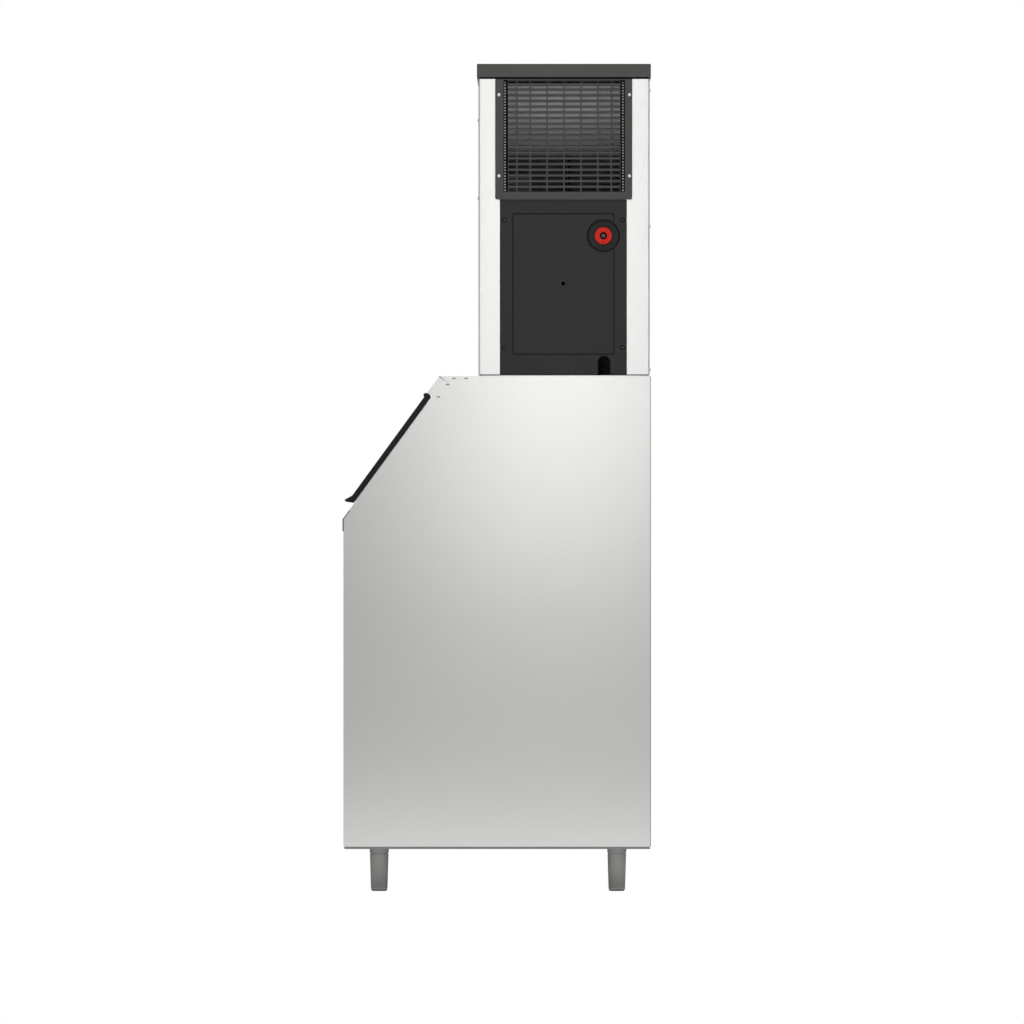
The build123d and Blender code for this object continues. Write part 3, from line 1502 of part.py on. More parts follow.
# Drain of the head: tube from under the trough to the recess
with BuildPart() as head_drain:
    with BuildLine() as path:
        FilletPolyline(
            (drain_x, drain_y, trough_bottom),
            (drain_x, drain_y, connection_z),
            (drain_x, head_back - pipe_set_back, connection_z),
            radius=2 * pipe_radius,
        )
    with BuildSketch(Plane(origin=path.line @ 0, z_dir=path.line % 0)):
        Circle(pipe_radius)
    sweep(path=path.line)
    with BuildSketch(Plane.XZ.offset(pipe_set_back - head_back)):
        with Locations((drain_x, connection_z)):
            Circle(thread_radius)
    extrude(amount=thread_length)
    with BuildSketch(Plane.XZ.offset(pipe_set_back - head_back)):
        with Locations((drain_x, connection_z)):
            Circle(pipe_bore)
    extrude(amount=recess_depth - pipe_set_back, mode=Mode.SUBTRACT)
save("head_drain", head_drain.part)
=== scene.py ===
import json
from math import cos, pi, radians, sin, tan

import bmesh
import bpy
from mathutils import Matrix, Vector


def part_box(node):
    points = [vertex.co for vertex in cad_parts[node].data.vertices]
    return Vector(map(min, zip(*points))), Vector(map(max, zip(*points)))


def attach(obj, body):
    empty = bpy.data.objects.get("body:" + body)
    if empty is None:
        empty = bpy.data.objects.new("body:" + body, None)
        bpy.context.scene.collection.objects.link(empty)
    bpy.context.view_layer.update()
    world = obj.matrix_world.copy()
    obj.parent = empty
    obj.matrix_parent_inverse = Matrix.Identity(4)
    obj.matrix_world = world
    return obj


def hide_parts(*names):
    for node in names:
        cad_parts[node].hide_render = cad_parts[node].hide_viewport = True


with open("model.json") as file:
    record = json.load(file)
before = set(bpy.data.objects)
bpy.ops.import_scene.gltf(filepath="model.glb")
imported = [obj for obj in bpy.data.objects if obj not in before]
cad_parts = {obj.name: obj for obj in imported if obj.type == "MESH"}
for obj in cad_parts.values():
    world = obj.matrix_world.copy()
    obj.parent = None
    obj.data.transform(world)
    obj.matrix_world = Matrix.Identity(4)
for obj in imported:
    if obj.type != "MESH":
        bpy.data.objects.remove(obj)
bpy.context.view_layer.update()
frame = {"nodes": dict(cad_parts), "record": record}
NODES = frame["nodes"]
SLOT_OF = {part["node"]: part["material_slot"] for part in frame["record"]["subparts"]}
MM = 0.001


def linear(code):
    """Linear colour of a six-digit sRGB code."""
    parts = [int(code[i:i + 2], 16) / 255 for i in (0, 2, 4)]
    return [c / 12.92 if c <= 0.04045 else ((c + 0.055) / 1.055) ** 2.4 for c in parts] + [1.0]


def add(tree, kind, inputs=None, **settings):
    """A node of this kind with its settings; an input takes a value or another node's output."""
    made = tree.nodes.new(kind)
    for name, value in settings.items():
        setattr(made, name, value)
    for name, value in (inputs or {}).items():
        if isinstance(value, bpy.types.NodeSocket):
            tree.links.new(value, made.inputs[name])
        else:
            made.inputs[name].default_value = value
    return made


# Camera: square on to the right side, no perspective
camera_data = bpy.data.cameras.new("camera")
camera_data.type = "ORTHO"
camera_data.ortho_scale = 2.6112
camera_data.clip_end = 50.0
camera = bpy.data.objects.new("camera", camera_data)
camera.location = (5.0, 0.0391, 0.9665)
camera.rotation_euler = (radians(90), 0, radians(90))
bpy.context.scene.collection.objects.link(camera)
bpy.context.scene.camera = camera
bpy.context.scene.view_settings.view_transform = "Standard"


# Finishes
def surface(name, colour, rough, second=None, patch=60.0, metal=0.0, grain=0.8, height=0.0,
            stretch=(1, 1, 1), swing=0.05, coat=0.0, wave=0.0, wave_size=180.0, level=0.5):
    """A finish with patches of a second colour, fine grain in height and roughness, and slow waves.

    patch, grain and wave_size are lengths in mm; height and wave are heights in mm.
    """
    made = bpy.data.materials.new(name)
    made.use_nodes = True
    tree = made.node_tree
    tree.nodes.clear()
    place = add(tree, "ShaderNodeTexCoord").outputs["Object"]
    laid = add(tree, "ShaderNodeMapping", {"Vector": place, "Scale": stretch}).outputs["Vector"]
    patches = add(tree, "ShaderNodeTexNoise", {"Vector": laid, "Scale": 1000 / patch, "Detail": 4.0})
    fine = add(tree, "ShaderNodeTexNoise", {"Vector": laid, "Scale": 1000 / grain, "Detail": 2.0})
    tint = tree.nodes.new("ShaderNodeMix")
    tint.data_type = "RGBA"
    tree.links.new(patches.outputs["Fac"], tint.inputs[0])
    tint.inputs[6].default_value = linear(colour)
    tint.inputs[7].default_value = linear(second or colour)
    roughness = add(tree, "ShaderNodeMapRange", {
        "Value": fine.outputs["Fac"],
        "To Min": max(0.02, rough - swing),
        "To Max": min(1.0, rough + swing),
    })
    skin = add(tree, "ShaderNodeBsdfPrincipled", {
        "Base Color": tint.outputs[2],
        "Metallic": metal,
        "Roughness": roughness.outputs["Result"],
        "Coat Weight": coat,
        "Specular IOR Level": level,
    })
    normal = None
    if wave:
        slow = add(tree, "ShaderNodeTexNoise", {"Vector": place, "Scale": 1000 / wave_size, "Detail": 1.0})
        normal = add(tree, "ShaderNodeBump", {
            "Height": slow.outputs["Fac"], "Strength": 1.0, "Distance": wave * MM,
        }).outputs["Normal"]
    if height:
        bump = add(tree, "ShaderNodeBump", {
            "Height": fine.outputs["Fac"], "Strength": 1.0, "Distance": height * MM,
        })
        if normal:
            tree.links.new(normal, bump.inputs["Normal"])
        normal = bump.outputs["Normal"]
    if normal:
        tree.links.new(normal, skin.inputs["Normal"])
    out = add(tree, "ShaderNodeOutputMaterial")
    tree.links.new(skin.outputs["BSDF"], out.inputs["Surface"])
    return made


FINISH = {
    "stainless": surface("brushed stainless steel", "D4D4D2", 0.49, "D8D8D6", patch=220, metal=1.0,
                         grain=1.2, height=0.004, stretch=(1, 0.04, 1), swing=0.05,
                         wave=0.25, wave_size=320),
    "head_sheet": surface("brushed stainless steel of the head", "D4D4D2", 0.49, "D8D8D6", patch=220,
                          metal=1.0, grain=1.2, height=0.004, stretch=(1, 1, 0.04), swing=0.05,
                          wave=0.15, wave_size=320),
    "galvanised": surface("galvanised steel", "A7ABAD", 0.42, "BDC1C3", patch=12, metal=1.0,
                          grain=3.0, swing=0.12),
    "lid_plastic": surface("grained dark grey plastic of the lid", "484846", 0.55, "4C4C4A", patch=90,
                           grain=0.9, height=0.06, level=0.25),
    "grille_plastic": surface("grained dark grey plastic of the grille", "414140", 0.55, "444443",
                              patch=70, grain=0.9, height=0.06, level=0.25),
    "cover_plastic": surface("grained black plastic of the cover", "262626", 0.55, "292929", patch=90,
                             grain=0.9, height=0.06, level=0.2),
    "door_plastic": surface("grained black plastic of the door", "161616", 0.55, "191919", patch=80,
                            grain=0.9, height=0.06, level=0.2),
    "trim_plastic": surface("dark grey plastic trim", "3C3C3C", 0.45, "424242", patch=50,
                            grain=0.8, height=0.03),
    "leg_plastic": surface("grey plastic of the legs", "8A8C88", 0.45, "8F918D", patch=40,
                           grain=0.8, height=0.04),
    "screw_steel": surface("bright steel screws", "B8B8B8", 0.38, "C6C6C6", patch=6, metal=1.0,
                           grain=0.5, swing=0.08),
    "dark_screw": surface("black-oxide screws", "55555A", 0.5, "48484A", patch=5, metal=1.0,
                          grain=0.5, swing=0.08),
    "red_plastic": surface("satin red plastic", "D2231A", 0.5, "C81F17", patch=14, grain=0.5,
                           swing=0.03, level=0.15),
    "foam": surface("yellow insulating foam", "D8C48A", 0.90, "C9B274", patch=18, grain=1.6,
                    height=0.5),
    "liner_plastic": surface("smooth pale liner plastic", "D9DCDD", 0.30, "D2D6D8", patch=120,
                             grain=1.2, height=0.02),
    "rubber": surface("black rubber", "1C1C1C", 0.62, "242424", patch=20, grain=0.7, height=0.05),
    "black_metal": surface("black enamel on steel", "1A1A1B", 0.34, "202021", patch=30, grain=0.9,
                           height=0.03),
    "aluminium": surface("mill aluminium", "C3C6C6", 0.36, "B4B8B8", patch=25, metal=1.0,
                         grain=0.8, swing=0.08),
    "copper": surface("darkened copper", "6E4534", 0.42, "573628", patch=30, metal=1.0, grain=0.8,
                      swing=0.08),
    "nickel": surface("nickel-plated copper", "C9C5BA", 0.26, "BDB9AE", patch=25, metal=1.0,
                      grain=0.8, swing=0.06),
    "white_plastic": surface("white plastic", "DCDEDE", 0.35, "D5D8D8", patch=60, grain=0.9,
                             height=0.03),
    "hose": surface("translucent-looking hose", "C9C7BC", 0.35, "BFBDB1", patch=30, grain=0.8,
                    height=0.02),
    "brass": surface("yellow brass", "C2A05A", 0.30, "B08F4B", patch=18, metal=1.0, grain=0.7,
                     swing=0.08),
    # Painted shade: grey for strips and dots put where folds, gaps and marks are in shade.
    "shade_grey": surface("edge of a steel fold in shade", "77777A", 0.5, "6B6B6E", patch=8, metal=1.0),
    # Painted shade: the lanced marks are darker steel, for the shade under their open flaps.
    "mark shade steel": surface("dulled steel of the marks", "8A8A88", 0.5, "767674", patch=4, metal=1.0),
    "pitch black": surface("black plastic in deep shade", "060606", 0.8, "0A0A0A", patch=20, level=0.1),
    "tooth grey": surface("pale grey plastic teeth", "B2B2B0", 0.5, "9C9C9A", patch=5, level=0.2),
    # Painted shade: darker red for the shaded patch on the switch ring.
    "deep red": surface("dark red paint of the mark", "5A0E0A", 0.5, "4A0B08", patch=4, level=0.2),
    "fin foil": surface("thin aluminium fins", "D2D6D4", 0.5, "BEC3C1", patch=30, metal=0.3),
    "rim grey": surface("painted rim of the base", "747476", 0.5, "7C7C7E", patch=40, level=0.3),
    "black_plastic": surface("black moulded plastic", "202021", 0.45, "28282A", patch=30, grain=0.8,
                             height=0.04),
}


def painted_shade_downwards(made, low, high):
    """Painted shade: darkens a finish downwards between two heights in metres, standing in for the light that
    falls off inside the cabinet.
    """
    tree = made.node_tree
    skin = tree.nodes["Principled BSDF"]
    tint = skin.inputs["Base Color"].links[0].from_socket
    place = add(tree, "ShaderNodeTexCoord").outputs["Object"]
    height = add(tree, "ShaderNodeSeparateXYZ", {"Vector": place}).outputs["Z"]
    share = add(tree, "ShaderNodeMapRange", {"Value": height, "From Min": low, "From Max": high})
    mixed = tree.nodes.new("ShaderNodeMix")
    mixed.data_type = "RGBA"
    tree.links.new(share.outputs["Result"], mixed.inputs[0])
    # dark colour of the painted shade
    mixed.inputs[6].default_value = linear("2C2E2D")
    tree.links.new(tint, mixed.inputs[7])
    tree.links.new(mixed.outputs[2], skin.inputs["Base Color"])


# Painted shade on the condenser fins: darker towards the bottom.
painted_shade_downwards(FINISH["fin foil"], 1.86, 1.98)
OTHER_FINISH = {"bin_base_pan": "rim grey"}
for node_name, node in NODES.items():
    node.data.materials.clear()
    node.data.materials.append(FINISH[OTHER_FINISH.get(node_name, SLOT_OF[node_name])])


# Pieces that repeat: one tree places a piece at every point, turned and spun
def repeat_tree():
    """Geometry tree that puts a piece on every point, spins it a little and gives it its finish."""
    tree = bpy.data.node_groups.new("repeat", "GeometryNodeTree")
    for name, kind in (
        ("Places", "NodeSocketGeometry"), ("Piece", "NodeSocketObject"), ("Turned", "NodeSocketVector"),
        ("Spin", "NodeSocketVector"), ("Seed", "NodeSocketInt"), ("Finish", "NodeSocketMaterial"),
    ):
        tree.interface.new_socket(name, in_out="INPUT", socket_type=kind)
    tree.interface.new_socket("Result", in_out="OUTPUT", socket_type="NodeSocketGeometry")
    given = add(tree, "NodeGroupInput").outputs
    piece = add(tree, "GeometryNodeObjectInfo", {"Object": given["Piece"]})
    placed = add(tree, "GeometryNodeInstanceOnPoints", {
        "Points": given["Places"],
        "Instance": piece.outputs["Geometry"],
        "Rotation": given["Turned"],
    })
    back = add(tree, "ShaderNodeVectorMath", {0: given["Spin"], 1: (-1, -1, -1)}, operation="MULTIPLY")
    chance = add(tree, "FunctionNodeRandomValue", {
        "Min": back.outputs[0], "Max": given["Spin"], "Seed": given["Seed"],
    }, data_type="FLOAT_VECTOR")
    spun = add(tree, "GeometryNodeRotateInstances", {
        "Instances": placed.outputs["Instances"], "Rotation": chance.outputs["Value"],
    })
    real = add(tree, "GeometryNodeRealizeInstances", {"Geometry": spun.outputs["Instances"]})
    finished = add(tree, "GeometryNodeSetMaterial", {
        "Geometry": real.outputs["Geometry"], "Material": given["Finish"],
    })
    out = add(tree, "NodeGroupOutput")
    tree.links.new(finished.outputs["Geometry"], out.inputs["Result"])
    return tree


REPEAT = repeat_tree()
SOCKET = {item.name: item.identifier for item in REPEAT.interface.items_tree if item.in_out == "INPUT"}


def linked(name, mesh):
    """A mesh as an object in the scene."""
    made = bpy.data.objects.new(name, mesh)
    bpy.context.scene.collection.objects.link(made)
    return made


def shaped(name, points, faces, smooth=False):
    """A mesh from points in mm and faces, with its faces turned outwards."""
    mesh = bpy.data.meshes.new(name)
    mesh.from_pydata([[c * MM for c in point] for point in points], [], faces)
    work = bmesh.new()
    work.from_mesh(mesh)
    bmesh.ops.recalc_face_normals(work, faces=work.faces)
    work.to_mesh(mesh)
    work.free()
    mesh.polygons.foreach_set("use_smooth", [smooth] * len(mesh.polygons))
    return mesh


def repeated(name, mesh, places, slot, turned=(0, 0, 0), spin=0.0, seed=1):
    """A plain object with the mesh at every place, in the finish of that slot."""
    piece = linked(name + " master", mesh)
    made = linked(name, shaped(name + " places", places, []))
    modifier = made.modifiers.new("repeat", "NODES")
    modifier.node_group = REPEAT
    values = {"Piece": piece, "Turned": turned, "Spin": (0, 0, spin), "Seed": seed, "Finish": FINISH[slot]}
    for key, value in values.items():
        modifier[SOCKET[key]] = value
    bpy.context.view_layer.update()
    graph = bpy.context.evaluated_depsgraph_get()
    plain = bpy.data.meshes.new_from_object(made.evaluated_get(graph), depsgraph=graph)
    made.modifiers.clear()
    made.data = plain
    plain.name = name
    bpy.data.objects.remove(piece)
    return made


def kept(made, body, slot, *nodes, finish=None):
    if not made.data.materials:
        made.data.materials.append(FINISH[finish or slot])
    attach(made, body)
    if nodes:
        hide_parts(*nodes)
    return made


def block(low, high):
    """Points and faces of a plain bar between two corners."""
    points = [(x, y, z) for x in (low[0], high[0]) for y in (low[1], high[1]) for z in (low[2], high[2])]
    return points, [(0, 1, 3, 2), (4, 6, 7, 5), (0, 4, 5, 1), (2, 3, 7, 6), (0, 2, 6, 4), (1, 5, 7, 3)]


def bar(name, low, high, round_by=0.0):
    """Mesh of a bar between two corners in mm, with its edges rounded."""
    mesh = shaped(name, *block(low, high))
    if round_by:
        work = bmesh.new()
        work.from_mesh(mesh)
        bmesh.ops.bevel(work, geom=list(work.edges), offset=round_by * MM, segments=2, affect="EDGES")
        work.to_mesh(mesh)
        work.free()
    return mesh


SIDES = 48


def lathed(name, rings, last=None):
    """A closed turned shape along +Z from rings of (radius, height); a radius may be a function of the turn.
    last is not used.
    """
    points = []
    for radius, height in rings:
        for step in range(SIDES):
            turn = 2 * pi * step / SIDES
            reach = radius(turn) if callable(radius) else radius
            points.append((reach * cos(turn), reach * sin(turn), height))
    faces = []
    for ring in range(len(rings) - 1):
        for step in range(SIDES):
            low, high = ring * SIDES, (ring + 1) * SIDES
            after = (step + 1) % SIDES
            faces.append((low + step, low + after, high + after, high + step))
    for ring in (0, len(rings) - 1):
        points.append((0, 0, rings[ring][1]))
        for step in range(SIDES):
            faces.append((ring * SIDES + step, ring * SIDES + (step + 1) % SIDES, len(points) - 1))
    return shaped(name, points, faces, smooth=False)


def cross(reach):
    """Radius of a cross recess that reaches this far, at a turn about its middle."""
    def radius(turn):
        part = turn % (pi / 2)
        part = min(part, pi / 2 - part)
        if part <= radians(15.01):
            return reach / cos(part)
        return reach * tan(radians(15)) / sin(part)
    return radius


def screw_mesh(name, radius, rise, shank, length):
    """Pan-head screw with a cross recess, its head above the origin and its shank below."""
    reach = 0.46 * radius
    dome = [(radius * cos(turn), rise * (0.45 + 0.55 * sin(turn)))
            for turn in (0, radians(18), radians(36), radians(54))]
    return lathed(name, [(shank * 0.6, -length), (shank, -length + 1), (shank, 0), (radius * 0.97, 0),
                         (radius, 0.12 * rise)] + dome
                  + [(reach * 1.25, rise), (cross(reach), rise), (cross(reach * 0.8), rise * 0.35)])


def corners(node, inset, side):
    """The four middles at the corners of a node's box, on the plane across the axis side."""
    low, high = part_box(node)
    axes = [axis for axis in range(3) if axis != side[0]]
    places = []
    for first in (low[axes[0]] / MM + inset, high[axes[0]] / MM - inset):
        for second in (low[axes[1]] / MM + inset, high[axes[1]] / MM - inset):
            place = [0, 0, 0]
            place[axes[0]], place[axes[1]], place[side[0]] = first, second, side[1]
            places.append(place)
    return places


def lanced_mesh():
    """A lanced mark in sheet: a half-oval flap that stands open along its lower edge."""
    rim = [(5.2 * cos(pi * step / 12), 3.6 * sin(pi * step / 12)) for step in range(13)]
    low = [(y, z, -0.3) for y, z in rim]
    high = [(y, z, 0.06 + 0.46 * (1 - z / 3.6)) for y, z in rim]
    points = [(-z, -y, x) for y, z, x in low + high]
    faces = [tuple(range(13)), tuple(range(13, 26))]
    faces += [(step, (step + 1) % 13, 13 + (step + 1) % 13, 13 + step) for step in range(13)]
    return shaped("lanced mark", points, faces)


HEAD = 4.35
RIGHT = (0, radians(90), 0)
LEFT = (0, radians(90), radians(180))
FRONT = (radians(90), 0, 0)
BACK = (radians(-90), 0, 0)
grille_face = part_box("air_grille")[1][0] / MM
head_low, head_high = [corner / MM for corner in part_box("head_side_right")]
cover_face = head_high[0]
bin_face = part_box("bin_side_right")[1][0] / MM

# Screws: bright ones in the grille and panels, dark ones in the wells of the service cover
pan_head = ("pan head", HEAD, 1.9, 1.9, 6.0)
kept(repeated("grille_screws", screw_mesh(*pan_head), corners("grille_screws", HEAD, (0, grille_face)),
              "screw_steel", RIGHT, 0.8, 3), "cabinet", "screw_steel", "grille_screws")
kept(repeated("front_panel_screws", screw_mesh(*pan_head),
              corners("front_panel_screws", HEAD, (1, head_low[1])), "screw_steel", FRONT, 0.8, 5),
     "cabinet", "screw_steel", "front_panel_screws")
kept(repeated("cover_screws", screw_mesh("well screw", 3.3, 1.2, 1.9, 8.0),
              corners("cover_screws", HEAD, (0, cover_face - 1.8)), "dark_screw", RIGHT, 0.8, 7),
     "cabinet", "dark_screw", "cover_screws")
back_places = [(x, head_high[1], z) for x in (-355, -120, 120, 355)
               for z in (head_low[2] + 14, head_high[2] - 30)]
back_places += [(x, head_high[1], head_low[2] + 380) for x in (-355, 355)]
kept(repeated("back_panel_screws", screw_mesh(*pan_head), back_places, "screw_steel", BACK, 0.8, 9),
     "cabinet", "screw_steel")

# Painted shade: black rings on the floors of the screw wells in the service cover.
well = lathed("well", [(3.5, 0.0), (6.0, 0.0), (5.9, 0.4), (3.5, 0.4)])
kept(repeated("screw_wells", well, corners("cover_screws", HEAD, (0, cover_face - 1.75)), "pitch black", RIGHT),
     "cabinet", "cover_plastic")
eye = lathed("eye_ring", [(0.1, 0.0), (7.4, 0.0), (7.2, 0.3), (5.2, 0.3), (5.0, 0.1), (0.1, 0.1)])

# Shadow line in the pressed groove of the service cover, as four strips along its floor
groove_x = cover_face + 0.2
for name, low, high in (
    ("low", (40.2, 1368.2), (299.8, 1369.7)), ("high", (40.2, 1726.3), (299.8, 1727.8)),
    ("front", (40.2, 1369.7), (41.7, 1726.3)), ("back", (298.3, 1369.7), (299.8, 1637.0)),
    ("back_high", (298.3, 1705.0), (299.8, 1726.3)),
):
    strip = bar("cover_line_" + name, (groove_x - 1.4, *low), (groove_x, *high))
    kept(linked(strip.name, strip), "cabinet", "cover_plastic", finish="pitch black")

# Service switch: red ring with a raised lip and a grey stub inside it; black painted shade in the hollow of the
# ring and a darker red patch of painted shade low on its face
knob_low, knob_high = [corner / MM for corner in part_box("switch_knob")]
dish = ((knob_low[1] + knob_high[1]) / 2, (knob_low[2] + knob_high[2]) / 2)
knob_back = cover_face - 17.5
ring = lathed("switch_ring", [(0.5, 4), (9.4, 4), (9.4, 15.0), (9.9, 15.5), (12.4, 15.5), (13.2, 14.4),
                              (13.6, 14), (20.0, 14), (21.2, 13.5), (22.0, 12.2), (22.0, 0), (0.5, 0)])
stub = lathed("switch_stub", [(0.5, -18), (5.4, -18), (5.4, 10.4), (4.8, 11.2), (2.4, 11.2), (2.2, 9.8),
                              (0.1, 9.8)])
well = lathed("switch_well", [(5.5, 4.1), (9.3, 4.1), (9.3, 9.5), (9.0, 9.5), (8.6, 4.6), (5.5, 4.6)])
mark = bar("switch_mark", (-1.6, -19.2, 13.9), (1.6, -14.4, 14.2))
for mesh, slot, finish in ((ring, "red_plastic", "red_plastic"), (stub, "red_plastic", "trim_plastic"),
                           (well, "red_plastic", "pitch black"), (mark, "red_plastic", "deep red")):
    mesh.transform(Matrix.Rotation(radians(90), 4, "Z") @ Matrix.Rotation(radians(90), 4, "X"))
    mesh.transform(Matrix.Translation(Vector((knob_back, *dish)) * MM))
    kept(linked(mesh.name, mesh), "knob", slot, "switch_knob", finish=finish)

# Painted shade: black strips in the shadow gap under the lid, grey strips under the head panels and down the
# back edges of the bin sides
lid_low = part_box("head_lid")[1][2] / MM - 33.8
for side, sign in (("right", 1), ("left", -1)):
    near, far = sorted((sign * 371.8, sign * 373.2))
    lid_shade_strip = bar("lid_seal_" + side, (near, head_low[1] + 3.2, head_high[2] + 0.1),
               (far, head_high[1] - 3.2, lid_low - 0.1))
    kept(linked("lid_seal_" + side, lid_shade_strip), "cabinet", "rubber", finish="pitch black")
    # Painted shade: thin grey strips along the lower edges of the head panels, where the gap above the bin is in
    # shade.
    near, far = sorted((sign * 374.8, sign * 375.25))
    for name, front, back in (("front", head_low[1] + 3.0, 7.8), ("back", 332.2, head_high[1] - 3.0)):
        edge = bar("head_edge_{}_{}".format(name, side), (near, front, head_low[2] - 0.2),
                   (far, back, head_low[2] + 2.6))
        kept(linked(edge.name, edge), "cabinet", "rubber", finish="shade_grey")
    # Painted shade: a grey strip down the back edge of each bin side, where the hem is in shade.
    near, far = sorted((sign * (bin_face - 0.2), sign * (bin_face + 0.12)))
    hem_shade_strip = bar("bin_hem_" + side, (near, 391.4, 114.0), (far, 393.0, 1312.0))
    kept(linked(hem_shade_strip.name, hem_shade_strip), "cabinet", "stainless", finish="shade_grey")

# Hood corner: the end of the hood's fold as a grey strip of painted shade, lanced marks beside it in darker
# steel of painted shade and two pin marks as small dots of painted shade
for side, turned, sign in (("right", RIGHT, 1), ("left", LEFT, -1)):
    face = sign * bin_face
    fold = [(-147.0, 1312.6, 0.9), (-139.0, 1306.6, 0.9), (-133.0, 1302.4, 0.4), (-120.5, 1294.2, 0.15)]
    points = [(face + sign * lift, y + turn * half * 0.6, z + turn * half * 0.8)
              for y, z, half in fold for turn in (-1, 1) for lift in (-0.2, 0.15)]
    faces = [(0, 1, 3, 2), (12, 13, 15, 14)]
    for step in range(3):
        low = 4 * step
        faces += [(low + a, low + b, low + 4 + b, low + 4 + a) for a, b in ((0, 1), (1, 3), (3, 2), (2, 0))]
    kept(linked("hood_fold_" + side, shaped("hood_fold_" + side, points, faces)), "cabinet", "stainless",
         finish="shade_grey")
    places = [(face, y, z) for y, z in ((-109.0, 1305.5), (-78.0, 1305.5), (-125.0, 1290.0), (-148.0, 1258.6))]
    kept(repeated("hood_marks_" + side, lanced_mesh(), places, "mark shade steel", turned), "cabinet",
         "stainless", "corner_rivets")
    places = [(face, -136.0, z) for z in (1261.2, 1253.6)]
    pin = lathed("pin mark", [(0.1, -0.2), (0.8, -0.2), (0.6, 0.15), (0.1, 0.15)])
    kept(repeated("pin_marks_" + side, pin, places, "shade_grey", turned), "cabinet", "stainless")

# Air grille: black side combs in front of the slat ends, with pale teeth and snap windows; combs and windows
# take the pitch-black finish, black plastic deepened by painted shade
comb_x = grille_face - 1.0
for side, near, far in (("front", 17.6, 28.6), ("back", 315.6, 327.0)):
    comb = bar("grille_comb_" + side, (comb_x, near, 1783.4), (comb_x + 0.5, far, 2068.0))
    kept(linked("grille_comb_" + side, comb), "cabinet", "black_plastic", finish="pitch black")
for side, near in (("front", 28.7), ("back", 314.3)):
    edge = bar("grille_edge_" + side, (comb_x, near, 1783.4), (comb_x + 0.4, near + 1.2, 2066.0))
    kept(linked(edge.name, edge), "cabinet", "grille_plastic")
teeth = [(comb_x + 0.5, y, 1787.0 + 7.25 * step) for y in (21.3, 321.9) for step in range(39)]
kept(repeated("grille_teeth", bar("tooth", (-0.1, -1.5, -1.7), (0.4, 1.5, 1.7)), teeth, "tooth grey"),
     "cabinet", "grille_plastic")
windows = [(comb_x + 0.5, y, z) for y in (19.8, 324.2) for z in (2065.0, 1978.8, 1921.0, 1863.6)]
kept(repeated("grille_windows", bar("window", (-0.1, -4.0, -2.6), (0.48, 4.0, 2.6)), windows,
              "pitch black"), "cabinet", "black_plastic")

# Condenser: fins drawn 3.1 mm apart, wider than real ones, tubes with return bends and end plates
fin_low, fin_high = (308.0, 14.0, 1879.0), (350.0, 322.0, 2053.0)
core = bar("condenser_core", (fin_low[0] + 4, fin_low[1] + 2, fin_low[2] + 2),
           (fin_high[0] - 14, fin_high[1] - 2, fin_high[2] - 1))
kept(linked("condenser_core", core), "cabinet", "aluminium", "condenser", finish="fin foil")
fin = bar("fin", (0, -0.65, 0), (fin_high[0] - fin_low[0], 0.65, fin_high[2] - fin_low[2]))
count = int((fin_high[1] - fin_low[1] - 6) / 3.1)
fins = [(fin_low[0], fin_low[1] + 4 + 3.1 * step, fin_low[2]) for step in range(count)]
kept(repeated("condenser_fins", fin, fins, "fin foil"), "cabinet", "aluminium", "condenser")

plates = [bar("condenser_plate", (fin_low[0] - 1, y, fin_low[2]), (fin_high[0] + 1, y + 1.5, fin_high[2] + 1.5),
              0.3) for y in (fin_low[1], fin_high[1] - 1.5)]
for number, plate in enumerate(plates):
    kept(linked("condenser_plate_{}".format(number), plate), "cabinet", "aluminium", "condenser")
turns = [pi * step / 10 for step in range(11)]
points = []
for turn in turns:
    for step in range(12):
        reach = 11.0 + 4.5 * cos(2 * pi * step / 12)
        points.append((4.5 * sin(2 * pi * step / 12), reach * sin(turn) * 0.7, reach * cos(turn)))
faces = [(ring * 12 + step, ring * 12 + (step + 1) % 12, ring * 12 + 12 + (step + 1) % 12, ring * 12 + 12 + step)
         for ring in range(10) for step in range(12)]
faces += [tuple(range(12)), tuple(range(120, 132))]
bends = [(x, fin_high[1], fin_low[2] + 22 + 44 * row) for x in (318.0, 340.0) for row in range(4)]
kept(repeated("condenser_bends", shaped("bend", points, faces, smooth=True), bends, "copper"), "cabinet",
     "copper", "condenser")

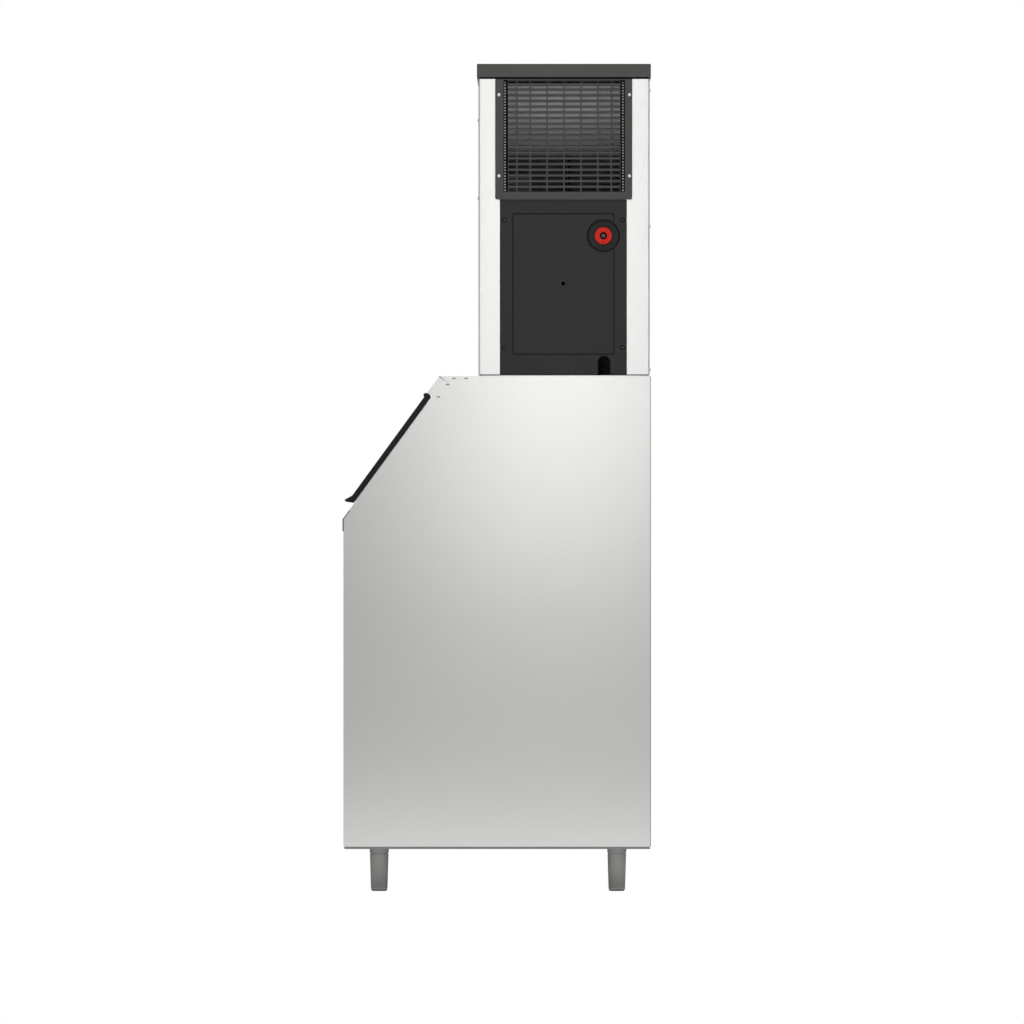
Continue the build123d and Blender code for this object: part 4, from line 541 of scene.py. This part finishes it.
# Legs: collar, groove and tapered column; feet with a soft lower edge
leg_places = [(x, y, 0) for x in (-325.0, 325.0) for y in (-299.5, 306.4)]
column = lathed("leg", [(0.5, 109.9), (24.2, 109.9), (24.5, 105.5), (24.3, 99.0), (23.6, 97.6), (22.7, 97.2),
                        (22.7, 95.4), (23.7, 94.8), (23.6, 90), (22.5, 50), (21.3, 9.5), (20.6, 7.2),
                        (0.5, 7.2)])
kept(repeated("leg_columns", column, leg_places, "leg_plastic"), "cabinet", "leg_plastic", "legs")
for node in ("foot_front_left", "foot_back_left", "foot_front_right", "foot_back_right"):
    low, high = [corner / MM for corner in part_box(node)]
    foot = lathed(node, [(0.5, 0), (15.5, 0), (18.4, 1.0), (20.4, 3.2), (21.0, 5.6), (21.0, 7.0), (0.5, 7.0)])
    foot.transform(Matrix.Translation(Vector(((low[0] + high[0]) / 2, (low[1] + high[1]) / 2, 0)) * MM))
    kept(linked(node + "_pad", foot), "_".join(node.split("_")[1:]) + "_foot", "leg_plastic", node)

# Stage: white floor and surroundings that only the camera sees as white
world = bpy.data.worlds.new("studio")
bpy.context.scene.world = world
world.use_nodes = True
world.node_tree.nodes.clear()
seen = add(world.node_tree, "ShaderNodeLightPath")
room = add(world.node_tree, "ShaderNodeBackground", {"Color": linear("FFFFFF"), "Strength": 0.28})
white = add(world.node_tree, "ShaderNodeBackground", {"Color": linear("FFFFFF"), "Strength": 1.0})
either = add(world.node_tree, "ShaderNodeMixShader", {
    0: seen.outputs["Is Camera Ray"], 1: room.outputs[0], 2: white.outputs[0],
})
add(world.node_tree, "ShaderNodeOutputWorld", {"Surface": either.outputs[0]})

floor = linked("floor", shaped("floor", [(-6000, -6000, 0), (6000, -6000, 0), (6000, 6000, 0),
                                         (-6000, 6000, 0)], [(0, 1, 2, 3)]))
floor_paint = surface("white studio floor", "F4F4F4", 0.8, "F6F6F6", patch=900)
floor.data.materials.append(floor_paint)


def light(name, place, target, size, power):
    """A soft rectangular light at a place in metres, turned to a target."""
    data = bpy.data.lights.new(name, "AREA")
    data.shape = "RECTANGLE"
    data.size, data.size_y = size
    data.energy = power
    made = bpy.data.objects.new(name, data)
    made.location = place
    made.rotation_euler = (Vector(target) - Vector(place)).to_track_quat("-Z", "Y").to_euler()
    bpy.context.scene.collection.objects.link(made)
    return made


light("key", (1.8, 0.16, 1.95), (0.38, 0.16, 1.95), (0.3, 2.2), 11.2)
light("bounce", (0.8, 0.12, 0.02), (0.8, 0.12, 1.0), (0.7, 1.8), 4.8)
light("front fill", (1.0, -3.2, 1.4), (0.2, -0.3, 1.1), (1.6, 2.0), 14)
light("rear fill", (1.0, 3.2, 1.4), (0.2, 0.3, 1.1), (1.6, 2.0), 12)
light("top", (0.6, 0.0, 4.2), (0.6, 0.0, 0), (3.0, 3.0), 45)
light("back fill", (-2.6, 2.2, 1.8), (0, 0, 1.0), (2.0, 2.0), 14)
